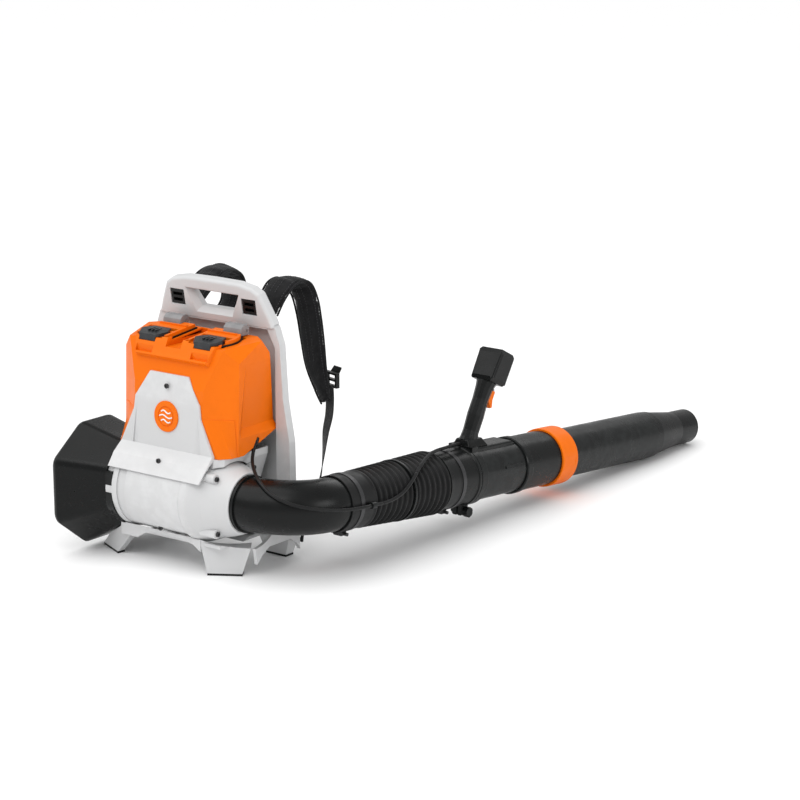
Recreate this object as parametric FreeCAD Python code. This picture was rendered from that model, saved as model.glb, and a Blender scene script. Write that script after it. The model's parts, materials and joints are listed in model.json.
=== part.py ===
import FreeCAD, Part
import math
import os

V = FreeCAD.Vector

# Backpack leaf blower, millimetres. +Z is up and z = 0 is the ground under the feet.
# x = 0 is the middle plane of the battery hood, +X points to the outlet side.
# +Y points to the wearer, who stands behind the back plate and faces +Y.

# ---- driving dimensions -------------------------------------------------------------
GAP = 0.3                      # air left between neighbouring bodies

FAN_Y, FAN_Z = -2.0, 137.0     # the fan axis runs along X through this point
DUCT_R = 71.0                  # bore of the fan duct
BARREL_R = 80.0                # outside of the fan barrel
HOUSING_LEFT, HOUSING_SPLIT, OUTLET_X = -97.0, 66.0, 160.0

HOOD_HALF_WIDTH = 137.0
HOOD_WALL = 3.0
HOOD_BOTTOM = 218.0
BROW_Z, BROW_RISE = 381.0, 8.0
BAY_X, BAY_Y = 66.0, 40.0      # centre of the right battery bay
BAY_HALF_X, BAY_HALF_Y = 36.0, 36.0
LATCH_Y, LATCH_Z = 24.0, 422.0
LID_THICK = 8.0
LID_PIVOT_Y, LID_PIVOT_Z = 80.0, 431.0

PLATE_FRONT, PLATE_BACK = 104.0, 121.0
PLATE_WALL = 4.0
FRAME_TOP, FRAME_LOW = 514.0, 436.0
FRAME_LEAN = 9.7               # degrees, the handle frame leans away from the wearer
BASE_TOP = 75.0
FOOT_HEIGHT = 4.0

ELBOW_R = 104.0                # bend radius of the outlet elbow
PIPE_R, PIPE_BORE = 49.5, 46.5
TUBE_YAW, TUBE_DROOP = 2.44, 4.43      # degrees, outwards and downwards
HOSE_START, HOSE_MID, HOSE_END = 80.0, 184.0, 289.0
HOSE_R0, HOSE_R1 = 54.0, 62.0
RIBS_PER_HALF = 7
CUFF_END = 384.0
HANDLE_TUBE_END, COLLAR_END = 535.0, 653.0
LOCK_END, FRONT_END, TIP = 708.0, 1017.0, 1192.8
HANDLE_TUBE_R, COLLAR_R, LOCK_R, FRONT_R, NOZZLE_R = 53.5, 55.0, 59.5, 50.0, 37.0
TUBE_WALL = 2.5

CABLE_R = 3.2
SHAFT_R = 5.0
RUNNING = 0.05                 # radial clearance of a running fit

# ---- helpers ------------------------------------------------------------------------
NODES = {}


def add(name, shape):
    """Keep a finished piece under its node name."""
    NODES[name] = shape


def box(x0, y0, z0, x1, y1, z1):
    return Part.makeBox(x1 - x0, y1 - y0, z1 - z0, V(x0, y0, z0))


def face_of(points):
    return Part.Face(Part.makePolygon(list(points) + [points[0]]))


def prism(points, push):
    """Polygon of 3-D points pushed along a vector."""
    return face_of(points).extrude(push)


def loft(sections):
    """Ruled solid through polygons with equal point counts."""
    wires = [Part.makePolygon(list(s) + [s[0]]) for s in sections]
    return Part.makeLoft(wires, True, True)


def rod(radius, start, end):
    line = end.sub(start)
    return Part.makeCylinder(radius, line.Length, start, line)


def pipe(outer, inner, start, end):
    line = end.sub(start)
    body = Part.makeCylinder(outer, line.Length, start, line)
    return body.cut(Part.makeCylinder(inner, line.Length, start, line))


def join(shapes):
    whole = shapes[0]
    for shape in shapes[1:]:
        whole = whole.fuse(shape)
    return whole.removeSplitter()


def trim(shape, point, normal, reach=900.0):
    """Cut away what lies on the normal's side of a plane."""
    cutter = Part.makeBox(2 * reach, 2 * reach, reach, V(-reach, -reach, 0))
    cutter.Placement = FreeCAD.Placement(point, FreeCAD.Rotation(V(0, 0, 1), normal))
    return shape.cut(cutter)


def flipped(shape):
    """The left-hand twin of a right-hand piece."""
    return shape.mirror(V(0, 0, 0), V(1, 0, 0))


def pair(shape):
    return shape.fuse(flipped(shape))


def round_edges(shape, radius, chosen):
    edges = [e for e in shape.Edges if chosen(e)]
    return shape.makeFillet(radius, edges)


def turned(profile, start, direction):
    """Solid of revolution: profile holds (distance along the axis, radius)."""
    face = face_of([V(radius, 0, along) for along, radius in profile])
    body = face.revolve(V(0, 0, 0), V(0, 0, 1), 360)
    body.Placement = FreeCAD.Placement(start, FreeCAD.Rotation(V(0, 0, 1), direction))
    return body


def fan_point(x, y=0.0, z=0.0):
    """A point given from the fan axis."""
    return V(x, FAN_Y + y, FAN_Z + z)


# ---- the tube's own frame: local Y runs along the tube, local Z is up -----------------
yaw, droop = math.radians(TUBE_YAW), math.radians(TUBE_DROOP)
ALONG = V(math.sin(yaw) * math.cos(droop), math.cos(yaw) * math.cos(droop), -math.sin(droop))
SIDE = ALONG.cross(V(0, 0, 1)).normalize()
UP = SIDE.cross(ALONG)
ELBOW_IN = fan_point(OUTLET_X)
BEND = math.acos(ALONG.x)
ELBOW_OUT = ELBOW_IN + (V(1, 0, 0) + ALONG) * (ELBOW_R * math.tan(BEND / 2))
TUBE = FreeCAD.Placement(FreeCAD.Matrix(
    SIDE.x, ALONG.x, UP.x, ELBOW_OUT.x,
    SIDE.y, ALONG.y, UP.y, ELBOW_OUT.y,
    SIDE.z, ALONG.z, UP.z, ELBOW_OUT.z,
    0, 0, 0, 1))


def on_tube(shape):
    """Carry a piece drawn in the tube's frame to its place."""
    placed = shape.copy()
    placed.Placement = TUBE.multiply(placed.Placement)
    return placed


def ring(start, end, outer, inner):
    """Plain ring of the tube."""
    return on_tube(pipe(outer, inner, V(0, start, 0), V(0, end, 0)))


def spun(profile):
    """Turned piece of the tube: (distance from the elbow, radius) pairs."""
    return on_tube(turned(profile, V(0, 0, 0), V(0, 1, 0)))


def screws(places, radius, length, direction):
    """Round heads with a hex socket, on one direction."""
    heads = []
    for place in places:
        head = rod(radius, place, place + direction * length)
        socket = Part.Face(hexagon(place + direction * (length * 0.45), direction, radius * 0.5))
        heads.append(head.cut(socket.extrude(direction * length)))
    return Part.makeCompound(heads)


def hexagon(centre, direction, radius):
    turn = FreeCAD.Rotation(V(0, 0, 1), direction)
    corners = [centre + turn.multVec(V(radius * math.cos(k * math.pi / 3),
                                       radius * math.sin(k * math.pi / 3), 0)) for k in range(7)]
    return Part.makePolygon(corners)


# ---- battery hood ---------------------------------------------------------------------
FRONT_UPPER = (V(0, -6, 418), V(0, -0.959, 0.284))
FRONT_LOWER = (V(0, -30, 337), V(0, -0.9986, 0.052))
HOOD_TOP = (V(0, -6, 412), V(0, -0.1047, 0.9945))
FACET = (V(112, -8, 412), V(0.541, -0.841, 0.034).normalize())
SHOULDER = (V(112, -8, 412), V(0.751, -0.301, 0.588).normalize())
REAR_LOWER = (V(0, 91, 395), V(0, 0.990, 0.139).normalize())
REAR_CORNER = (V(137, 70, 420), V(0.505, 0.661, 0.555).normalize())
UNDER_FLAT = (V(0, 0, HOOD_BOTTOM), V(0, 0, -1))
UNDER_SLOPE = (V(0, 16, HOOD_BOTTOM), V(0, 0.337, -0.9415).normalize())


# The control cable leaves the hood's underside, goes over the elbow, through the clip, along
# the hose and over the cuff to the handle.
CABLE_ROUTE = [
    V(130, 60, 250), V(134.5, 44, 219), V(146, 27, 207.5), V(166, 7, 200), V(198, -17, 188),
    V(235.3, -27.9, 169.8), V(272.8, -8.9, 153.3), V(303.2, 30, 142), V(319.5, 75, 134), V(326, 115, 130),
    V(327, 152, 127), V(330, 190, 124), V(331.5, 232, 130), V(327, 270, 147), V(314, 308, 162),
    V(302, 348, 171), V(292, 386, 172), V(286, 424, 168), V(281.5, 454, 165.5),
    V(281.5, 484, 164)]
CABLE_EXIT = CABLE_ROUTE[1].sub(CABLE_ROUTE[0]).normalize()


def both_sides(plane):
    point, normal = plane
    return [plane, (V(-point.x, point.y, point.z), V(-normal.x, normal.y, normal.z))]


def hood_form(inset, with_floor):
    """Convex outer form of the hood, pulled in by a wall thickness."""
    half = HOOD_HALF_WIDTH - inset
    form = box(-half, -60, 150, half, 140, 460)
    planes = [FRONT_UPPER, FRONT_LOWER, HOOD_TOP, REAR_LOWER]
    planes += both_sides(FACET) + both_sides(SHOULDER) + both_sides(REAR_CORNER)
    for point, normal in planes:
        form = trim(form, point - normal * inset, normal)
    if with_floor:
        for point, normal in (UNDER_FLAT, UNDER_SLOPE):
            form = trim(form, point, normal)
    return form


def corner_flare(inset):
    """Lower front corner of the hood, which swings out below the facet."""
    head = ((81, -33.2), (81.2, -33.2), (106, -17.8), (131.5, -2), (81, -2))
    foot = ((81, -33.8), (119, -33.8), (134, -15), (136, -2), (81, -2))
    rows = [[V(x - inset, y + inset, z) for x, y in row] for row, z in ((head, 286), (foot, HOOD_BOTTOM))]
    return loft(rows)


def front_at(z):
    """Y of the hood's front surface."""
    point, normal = FRONT_UPPER if z > FRONT_LOWER[0].z else FRONT_LOWER
    return point.y - (z - point.z) * normal.z / normal.y


def brow():
    """Raised upper front with a bevel under it."""
    low_x, top_x = 84.0, 96.0
    low = front_at(BROW_Z)
    top = front_at(416)
    back = 12.0
    outline = [(-low_x, BROW_Z + 6, low - BROW_RISE), (low_x, BROW_Z + 6, low - BROW_RISE),
               (top_x, 419, top - BROW_RISE + 6), (-top_x, 419, top - BROW_RISE + 6)]
    front = [V(x, y, z) for x, z, y in outline]
    rear = [V(x * 1.05, y + back, z) for x, z, y in outline]
    rear[0].z = rear[1].z = BROW_Z - 5
    return loft([front, rear])


def bay_outline(grow, z):
    """D-shaped lid outline of the right bay as a closed wire."""
    left, right = BAY_X - BAY_HALF_X - 8 - grow, BAY_X + 14 + grow
    front, rear = -7 - grow, 76 + grow
    bulge = BAY_X + BAY_HALF_X + 6 + grow
    mid = (front + rear) / 2
    edges = [Part.makeLine(V(left, front, z), V(right, front, z)),
             Part.Arc(V(right, front, z), V(bulge, mid, z), V(right, rear, z)).toShape(),
             Part.makeLine(V(right, rear, z), V(left, rear, z)),
             Part.makeLine(V(left, rear, z), V(left, front, z))]
    return Part.Wire(edges)


def top_slab(wire, low, high):
    """Push a wire up between two heights above the hood's sloping top."""
    slab = Part.Face(wire).extrude(V(0, 0, 80))
    point, normal = HOOD_TOP
    slab = trim(slab, point + normal * high, normal)
    return trim(slab, point + normal * low, normal * -1)


def scoop():
    """Shallow recess that deepens down the hood's side, open to the rear."""
    out, deep = HOOD_HALF_WIDTH + 1, HOOD_HALF_WIDTH - 9
    head = [V(out, 24, 384), V(out, 140, 384), V(out - 1, 140, 383), V(out - 1, 26, 383)]
    edge = [V(out, 2, 262), V(out, 140, 262), V(deep, 140, 266), V(deep, 20, 266)]
    floor = [V(out, 6, 250), V(out, 140, 250), V(out - 1, 140, 251), V(out - 1, 8, 251)]
    return loft([head, edge]).fuse(loft([edge, floor]))


def finger_pocket(grow):
    """Pocket in the hood's front under the latch; grow gives the block around it."""
    half, rear = 20 + grow, -17 + grow
    return box(BAY_X - half, -60, 390 - grow, BAY_X + half, rear, 440 if not grow else LATCH_Z - 6.3)


def latch_shelf():
    """Step behind the finger pocket, under the latch's lip."""
    block = box(BAY_X - 22, -17, 388, BAY_X + 22, 3.7, LATCH_Z - 13.5)
    return block.cut(box(BAY_X - 20, -14.6, 380, BAY_X + 20, 1.2, LATCH_Z - 16))


def battery_hood():
    flares = pair(corner_flare(0))
    hood = hood_form(0, True).fuse(flares).fuse(brow())
    hollow = hood_form(HOOD_WALL, False).fuse(pair(corner_flare(HOOD_WALL)))
    behind = scoop().translated(V(-HOOD_WALL, 0, 0))
    hood = hood.cut(hollow.cut(behind).cut(flipped(behind)))
    valley = box(-18, -50, 404, 18, 84, 460)
    trough = box(-21, -50, 401, 21, 87, 412).common(hood_form(0, False))
    hood = hood.fuse(trough).cut(valley)
    for side in (scoop(), flipped(scoop())):
        hood = hood.cut(side)
    shelf = finger_pocket(2.4).fuse(latch_shelf()).common(hood_form(0, False).fuse(brow()))
    hood = hood.fuse(shelf).fuse(flipped(shelf))
    well = box(BAY_X - BAY_HALF_X, BAY_Y - BAY_HALF_Y, 395, BAY_X + BAY_HALF_X,
               BAY_Y + BAY_HALF_Y - 6, 450)
    pocket = finger_pocket(0).fuse(box(BAY_X - 20, -14.6, LATCH_Z - 13.5, BAY_X + 20, 3, 440))
    lid_room = top_slab(bay_outline(0.6, 380), 0, 30)
    latch_room = box(BAY_X - 34, -13, LATCH_Z - 6, BAY_X + 32, 40, 450)
    cable_exit = rod(6.8, CABLE_ROUTE[0] + CABLE_EXIT * 8, CABLE_ROUTE[0] + CABLE_EXIT * 40)
    for cut in (well, pocket, lid_room, latch_room):
        hood = hood.cut(cut).cut(flipped(cut))
    return hood.cut(cable_exit)


add("battery_hood", battery_hood())


# ---- battery bays: wells, packs, lids, seals, latches and hinges ----------------------
HINGE_X, HINGE_HALF, LUG_HALF = 73.0, 21.0, 6.0


def latch_pin():
    """Pin across the lid's latch seat."""
    return rod(2, V(BAY_X - 37, LATCH_Y, LATCH_Z - 1), V(BAY_X + 35, LATCH_Y, LATCH_Z - 1))


def battery_lid():
    """Raised lid with a latch seat in front and a hinge seat behind."""
    lid = top_slab(bay_outline(-2.8, 380), 1.0, 1.0 + LID_THICK)
    latch_seat = box(BAY_X - 35, -20, 416.5, BAY_X + 33, 34, 450)
    hinge_seat = box(HINGE_X - HINGE_HALF - 1, 61, 423, HINGE_X + HINGE_HALF + 1, 95, 460)
    heel_room = box(BAY_X - 35, 22, 414, BAY_X + 33, 35, 450)
    pocket = box(BAY_X - 20.5, -20, 390, BAY_X + 20.5, -1, 450)
    ridge = box(BAY_X - 40, 50, 422, BAY_X + 26, 55, 430)
    lid = lid.fuse(ridge).cut(latch_seat).cut(heel_room).cut(hinge_seat).cut(pocket)
    return lid.fuse(latch_pin()).removeSplitter()


def lid_seal():
    """Rubber lip around the lid, lying on the hood's top."""
    outer = top_slab(bay_outline(0, 380), 0, 3.0)
    inner = top_slab(bay_outline(-2.5, 380), -10, 20)
    pocket_gap = box(BAY_X - 24, -20, 390, BAY_X + 24, 0, 450)
    hinge_gap = box(HINGE_X - 27, 66, 390, HINGE_X + 27, 95, 460)
    return outer.cut(inner).cut(pocket_gap).cut(hinge_gap)


def hinge_cover():
    """Grey block on the lid's rear edge that turns on the hinge pin."""
    side = [V(0, 62, 423.5), V(0, 64, 436), V(0, 70, 442), V(0, 80, 443), V(0, 86, 438),
            V(0, 86, 426), V(0, 82, 423.5)]
    block = prism(side, V(2 * HINGE_HALF, 0, 0)).translated(V(HINGE_X - HINGE_HALF, 0, 0))
    block = round_edges(block, 3, lambda e: e.BoundBox.XLength > 40 and e.BoundBox.ZMin > 430)
    bore = rod(3 + RUNNING, V(0, LID_PIVOT_Y, LID_PIVOT_Z), V(140, LID_PIVOT_Y, LID_PIVOT_Z))
    lug_room = box(HINGE_X - LUG_HALF - GAP, LID_PIVOT_Y - 7, 400,
                   HINGE_X + LUG_HALF + GAP, 95, LID_PIVOT_Z + 7)
    return block.cut(bore).cut(lug_room)


def hinge_pin():
    """Steel pin held by a lug of the hood."""
    half = HINGE_HALF
    return rod(3, V(HINGE_X - half, LID_PIVOT_Y, LID_PIVOT_Z), V(HINGE_X + half, LID_PIVOT_Y, LID_PIVOT_Z))


def hinge_lug():
    """Ear with a bore for the pin, standing on the hood inside the hinge block."""
    x = HINGE_X - LUG_HALF
    side = [V(x, 75, 405), V(x, 75, 433), V(x, 78, 436), V(x, 83, 436), V(x, 86, 433), V(x, 86, 405)]
    return prism(side, V(2 * LUG_HALF, 0, 0)).cut(hood_form(HOOD_WALL, False)).cut(hinge_pin())


def latch():
    """Arrow-shaped latch lever on the lid's front edge."""
    low = LATCH_Z - 5
    outline = [V(BAY_X - 33, 8, low), V(BAY_X - 20, -12, low), V(BAY_X + 20, -12, low),
               V(BAY_X + 31, 8, low), V(BAY_X + 20, 31, low), V(BAY_X - 20, 31, low)]
    plate = trim(prism(outline, V(0, 0, 9)), V(0, -12, LATCH_Z - 1), V(0, -0.2, 0.98))
    lip = box(BAY_X - 19, -12, low - 8, BAY_X + 19, -8, low + 1)
    bore = rod(2 + RUNNING, V(0, LATCH_Y, LATCH_Z - 1), V(140, LATCH_Y, LATCH_Z - 1))
    ribs = [box(BAY_X - 10 + 8 * k, 0, low + 4, BAY_X - 7 + 8 * k, 18, low + 10) for k in range(3)]
    return join([plate, lip] + ribs).cut(bore)


def battery_well():
    """Open-topped well that guides one pack."""
    outer = box(BAY_X - 43, -14, 238, BAY_X + 43, 78, 396)
    inner = box(BAY_X - 40.5, -11.5, 241, BAY_X + 40.5, 75.5, 420)
    return outer.common(hood_form(HOOD_WALL + GAP, False)).cut(inner)


def battery_pack():
    """Block battery with a stepped handle top and side ribs."""
    pack = box(BAY_X - 35, 5, 255, BAY_X + 35, 69, 404)
    pack = pack.common(hood_form(HOOD_WALL + 4, False))
    grip = box(BAY_X - 22, 20, 392, BAY_X + 22, 50, 405)
    ribs = [box(BAY_X - 37, 8 + 15 * k, 262, BAY_X - 34, 15 + 15 * k, 374) for k in range(4)]
    return join([pack.cut(grip)] + ribs)


def terminal_block():
    """Contact block at the foot of a well."""
    block = box(BAY_X - 24, 14, 241, BAY_X + 24, 52, 254.7)
    slots = [box(BAY_X - 18 + 12 * k, 20, 247, BAY_X - 15 + 12 * k, 46, 257) for k in range(4)]
    for slot in slots:
        block = block.cut(slot)
    return block


NODES["battery_hood"] = NODES["battery_hood"].fuse(pair(hinge_lug()))
for side_name, place in (("right", lambda s: s), ("left", flipped)):
    add("battery_lid_" + side_name, place(battery_lid()))
    add("hinge_cover_" + side_name, place(hinge_cover()))
    add("lid_latch_" + side_name, place(latch()))
add("lid_hinge_pins", pair(hinge_pin()))
add("lid_seals", pair(lid_seal()))
add("battery_packs", pair(battery_pack()))
add("battery_wells", pair(battery_well().fuse(terminal_block())))

# ---- front cover and emblem -----------------------------------------------------------
COVER_RISE = 4.0
EMBLEM_Z, EMBLEM_R = 281.0, 28.5


def cover_row(half, z, y):
    """One level of the cover: its half width, height and front depth."""
    return [V(-half, y, z), V(half, y, z)]


def front_cover():
    """Light stepped cover on the hood's front, running down to the barrel."""
    rows = [cover_row(half, z, front_at(z) - COVER_RISE)
            for half, z in ((46, 358), (77, 310), (80, 286), (110, 222))]
    rows += [cover_row(112, 203, -60.0), cover_row(110, 180, -79.0)]
    back = V(0, 16, 0)
    strips = []
    for upper, lower in zip(rows, rows[1:]):
        front = [upper[0], upper[1], lower[1], lower[0]]
        rear = [p + back for p in front]
        strips.append(loft([front, rear]))
    shell = join(strips)
    shell = shell.cut(hood_form(-GAP, True)).cut(pair(corner_flare(-GAP)))
    shell = shell.cut(rod(BARREL_R + 5, fan_point(-200), fan_point(200))).cut(lower_body(-GAP))
    for sign in (-1, 1):
        top = [V(sign * x, y, 306) for x, y in ((66, -60), (72, -60), (72, -36), (66, -39))]
        foot = [V(sign * x, y, 222) for x, y in ((62, -60), (82, -60), (82, -37), (62, -41))]
        shell = shell.cut(loft([top, foot]))
    return shell.cut(front_screws())


def emblem_disc():
    seat = V(0, front_at(EMBLEM_Z) - COVER_RISE, EMBLEM_Z)
    out = FRONT_LOWER[1]
    disc = rod(EMBLEM_R, seat, seat + out * 2.4)
    disc = round_edges(disc, 0.8, lambda e: e.BoundBox.YMin < seat.y - 2.2 and not e.isSeam(disc.Faces[0]))
    blade = Part.makeTorus(EMBLEM_R * 0.62, 1.2, seat + out * 2.2, out)
    return disc.cut(blade)



# ---- fan housing, outlet funnel, intake -----------------------------------------------
BODY_HALF = 126.0
BODY_REAR = 95.0
SHELL = 3.0
BOSS_AT, BOSS_R, BOSS_X = 51.0, 8.5, 130.0


def lower_body(inset):
    """Faceted body that carries the barrel, from the base up to the hood."""
    half = BODY_HALF - inset
    body = box(-half, -60, 62 + inset, half, BODY_REAR - inset, HOOD_BOTTOM - GAP)
    planes = [(V(0, -38, 218), V(0, -0.98, 0.2).normalize()),
              (V(0, -42, 100), V(0, -0.94, -0.34).normalize())]
    planes += both_sides((V(BODY_HALF, 0, 205), V(0.94, 0, -0.34).normalize()))
    planes += both_sides((V(112, -41, 200), V(0.7, -0.7, 0.1).normalize()))
    for point, normal in planes:
        body = trim(body, point - normal * inset, normal)
    return body


def bosses(radius, end):
    """Four screw bosses around the funnel."""
    places = [(sy * BOSS_AT, sz * BOSS_AT) for sy in (-1, 1) for sz in (-1, 1)]
    return join([rod(radius, fan_point(94, y, z), fan_point(end, y, z)) for y, z in places])


def outlet_envelope():
    """Room kept free for the funnel and its bosses."""
    profile = [(0, 0), (0, BARREL_R + 5), (16, BARREL_R + 5), (72, PIPE_R + 18),
               (110, PIPE_R + 8), (110, 0)]
    cone = turned(profile,
                  fan_point(HOUSING_SPLIT), V(1, 0, 0))
    return cone.fuse(bosses(BOSS_R + 1, BOSS_X + 6))


def front_screws():
    """Three black screws down the middle of the cover and the barrel."""
    places = [V(0, front_at(337) - COVER_RISE, 337), V(0, -60.6, 203), V(0, FAN_Y - 57.0, 76)]
    return screws(places, 4.6, 3.0, V(0, -1, 0))


def fan_housing():
    """Barrel with its duct, the hollow body around it and the raised front panel."""
    body = lower_body(0).cut(lower_body(SHELL))
    barrel = rod(BARREL_R, fan_point(HOUSING_LEFT), fan_point(HOUSING_SPLIT))
    mouth = rod(BARREL_R, fan_point(NECK_X - 3), fan_point(HOUSING_LEFT))
    panel = rod(BARREL_R + 4, fan_point(-64), fan_point(HOUSING_SPLIT))
    panel = panel.common(box(-200, -200, 80, 200, -20, 190))
    collar = rod(BARREL_R + 2.5, fan_point(HOUSING_LEFT), fan_point(HOUSING_LEFT + 12))
    webs = [box(x, -40, 66, x + 3, 94, HOOD_BOTTOM - 2).common(lower_body(1)) for x in (-60, 40)]
    solid = join([body, barrel, mouth, panel, collar] + webs)
    solid = solid.cut(rod(DUCT_R, fan_point(NECK_X - 5), fan_point(HOUSING_SPLIT + 60)))
    solid = solid.cut(box(HOUSING_SPLIT, -90, 0, 200, 90, HOOD_BOTTOM).common(outlet_envelope()))
    return solid.cut(front_screws())


def outlet_funnel():
    """Funnel from the barrel to the elbow, bulging around four screw bosses."""
    wide, narrow = BARREL_R + 4, PIPE_R + 6
    cone = turned([(0, 0), (0, wide), (14, wide), (42, narrow + 17), (70, narrow + 9), (86, narrow + 3),
                   (93, narrow), (93, 0)], fan_point(HOUSING_SPLIT + GAP), V(1, 0, 0))
    hollow = turned([(0, 0), (0, DUCT_R), (70, PIPE_BORE), (96, PIPE_BORE), (96, 0)],
                    fan_point(HOUSING_SPLIT - 1), V(1, 0, 0))
    seat = rod(PIPE_R + GAP, fan_point(140), fan_point(OUTLET_X + 5))
    return cone.fuse(bosses(BOSS_R, BOSS_X)).cut(hollow).cut(seat)


RIM_X, RIM_FRONT, RIM_REAR, RIM_HALF_Z, RIM_Z = -207.0, 127.0, 97.0, 116.0, 128.0
NECK_X, NECK_HALF = -114.0, 80.0
SHROUD_ROUND = 24.0
TOP_REAR = 24.0                # the rim's top flat ends here, behind the fan axis


def octagon(x, front, rear, half_z, cut, centre_z, top_rear):
    """Eight corners around the fan axis; the upper rear corner is cut furthest."""
    low = half_z - cut[1]
    turns = ((-front, -low), (-front, low), (cut[0] - front, half_z), (top_rear, half_z),
             (rear, low), (rear, -low), (rear - 0.8 * cut[0], -half_z), (cut[0] - front, -half_z))
    return [V(x, FAN_Y + y, centre_z + z) for y, z in turns]


def soft_wire(points, radius):
    """Closed outline with every corner rounded."""
    edges = []
    for k, corner in enumerate(points):
        back = (points[k - 1] - corner).normalize()
        ahead = (points[(k + 1) % len(points)] - corner).normalize()
        half = back.getAngle(ahead) / 2
        reach = radius / math.tan(half)
        inward = (back + ahead).normalize() * (radius / math.sin(half) - radius)
        edges.append(Part.Arc(corner + back * reach, corner + inward, corner + ahead * reach).toShape())
    joints = [Part.makeLine(one.Vertexes[-1].Point, other.Vertexes[0].Point)
              for one, other in zip(edges, edges[1:] + edges[:1])]
    return Part.Wire([edge for both in zip(edges, joints) for edge in both])


def soft_loft(sections, radius):
    return Part.makeLoft([soft_wire(section, radius) for section in sections], True, True)


def rim_octagon(x, inset):
    return octagon(x, RIM_FRONT - inset, RIM_REAR - inset, RIM_HALF_Z - inset,
                   (74 - 0.5 * inset, 58 - 0.4 * inset), RIM_Z, TOP_REAR)


def shroud_form(inset):
    """Flared mouth: octagonal rim with a rolled lip that narrows to a neck around the barrel."""
    half = NECK_HALF - inset
    neck = [octagon(x, half, half, half, (44, 44), FAN_Z, half - 44) for x in (NECK_X, HOUSING_LEFT - GAP)]
    radius = SHROUD_ROUND - inset
    rim = [rim_octagon(RIM_X + x, inset + fall) for x, fall in ((0, 8), (2.5, 3.5), (7, 0.8), (12, 0))]
    rings = rim + neck
    return join([soft_loft(both, radius) for both in zip(rings, rings[1:])])


def intake_shroud():
    """Thin-walled flared shroud with a bulkhead that meets the barrel."""
    shell = shroud_form(0)
    bulkhead_x = NECK_X - 4
    front = shroud_form(3.5).common(box(RIM_X - 1, -200, 0, bulkhead_x, 200, 400))
    mouth = rod(BARREL_R + GAP, fan_point(bulkhead_x - 5), fan_point(HOUSING_LEFT + 5))
    opening = rim_octagon(RIM_X - 1, 16)
    cover_corner = box(-112 - GAP, -92, 170, -90, 0, 226)
    hood = hood_form(-GAP, True).fuse(flipped(corner_flare(-GAP))).translated(V(0, 0, -GAP))
    neighbours = join([lower_body(-GAP), hood, cover_corner])
    shell = shell.cut(front).cut(mouth).cut(prism(opening, V(6, 0, 0)))
    bulkhead = pipe(NECK_HALF + 10, BARREL_R + GAP, fan_point(bulkhead_x), fan_point(bulkhead_x + 4))
    bulkhead = bulkhead.common(shroud_form(0))
    return shell.fuse(bulkhead).cut(neighbours)


def intake_grille():
    """Guard of radial bars and rings inside the rim."""
    x0, x1 = RIM_X + 6, RIM_X + 10
    plate = prism(rim_octagon(x0, 17), V(x1 - x0, 0, 0))
    centre0, centre1 = V(x0, FAN_Y, RIM_Z), V(x1, FAN_Y, RIM_Z)
    plate = plate.cut(rod(88, centre0 - V(5, 0, 0), centre1 + V(5, 0, 0)))
    parts = [plate, rod(18, centre0, centre1)]
    for radius in (31, 45, 59, 73):
        parts.append(pipe(radius + 1.5, radius - 1.5, centre0, centre1))
    for k in range(12):
        bar = box(x0, -1.5, 15, x1, 1.5, 90)
        bar.rotate(V(0, 0, 0), V(1, 0, 0), 30 * k)
        parts.append(bar.translated(V(0, FAN_Y, RIM_Z)))
    return join(parts)


add("front_cover", front_cover())
add("emblem_disc", emblem_disc())
add("fan_housing", fan_housing())
add("outlet_funnel", outlet_funnel())
add("intake_shroud", intake_shroud())
add("intake_grille", intake_grille())

# ---- fan, shaft, motor ----------------------------------------------------------------
HUB_R, BLADES = 33.0, 9
FAN_X0, FAN_X1 = -74.0, -40.0
MOTOR_X0, MOTOR_X1 = -34.0, 46.0
VANES = 7


def blade(angle):
    """One fan blade, twisted between hub and tip."""
    def section(radius, chord, pitch):
        half, thick = chord / 2, 1.6
        c, s = math.cos(math.radians(pitch)), math.sin(math.radians(pitch))
        corners = ((-half, -thick / 2), (half, -thick / 2), (half, thick / 2), (-half, thick / 2))
        return [V(a * c - b * s, a * s + b * c, radius) for a, b in corners]
    shape = loft([section(HUB_R - 2, 36, 42), section(DUCT_R + 3, 40, 24)])
    shape = shape.translated(V((FAN_X0 + FAN_X1) / 2, 0, 0))
    shape.rotate(V(0, 0, 0), V(1, 0, 0), angle)
    return shape.translated(fan_point(0))


def fan_wheel():
    hub = rod(HUB_R, fan_point(FAN_X0), fan_point(FAN_X1))
    nose = turned([(0, 0), (0, 14), (7, 25), (18, HUB_R), (18, 0)], fan_point(FAN_X0 - 18), V(1, 0, 0))
    blades = [blade(k * 360.0 / BLADES) for k in range(BLADES)]
    limit = rod(DUCT_R - 1.5, fan_point(FAN_X0 - 20), fan_point(FAN_X1 + 3))
    wheel = join([hub, nose] + blades).common(limit)
    room = rod(10, fan_point(FAN_X0 - 20), fan_point(FAN_X0 - 2))
    return wheel.cut(rod(SHAFT_R, fan_point(FAN_X0 - 30), fan_point(FAN_X1 + 10))).cut(room)


def motor_can():
    """Motor carrier: can and straightening vanes inside the duct."""
    can = rod(HUB_R + 2, fan_point(MOTOR_X0), fan_point(MOTOR_X1))
    tail = turned([(0, 0), (0, HUB_R + 2), (24, 22), (40, 8), (40, 0)], fan_point(MOTOR_X1), V(1, 0, 0))
    vanes = []
    for k in range(VANES):
        vane = box(-20, -1.2, HUB_R, 38, 1.2, DUCT_R)
        vane.rotate(V(0, 0, 0), V(1, 0, 0), k * 360.0 / VANES)
        vanes.append(vane.translated(fan_point(0)).common(rod(DUCT_R, fan_point(-60), fan_point(60))))
    inside = rod(HUB_R - 1, fan_point(MOTOR_X0 + 4), fan_point(MOTOR_X1 - 2))
    seats = rod(13, fan_point(MOTOR_X0 - 2), fan_point(MOTOR_X1 + 8))
    can = join([can, tail] + vanes).cut(inside).cut(seats)
    return join([can, bearing(MOTOR_X0), bearing(MOTOR_X1 - 6)])


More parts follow.
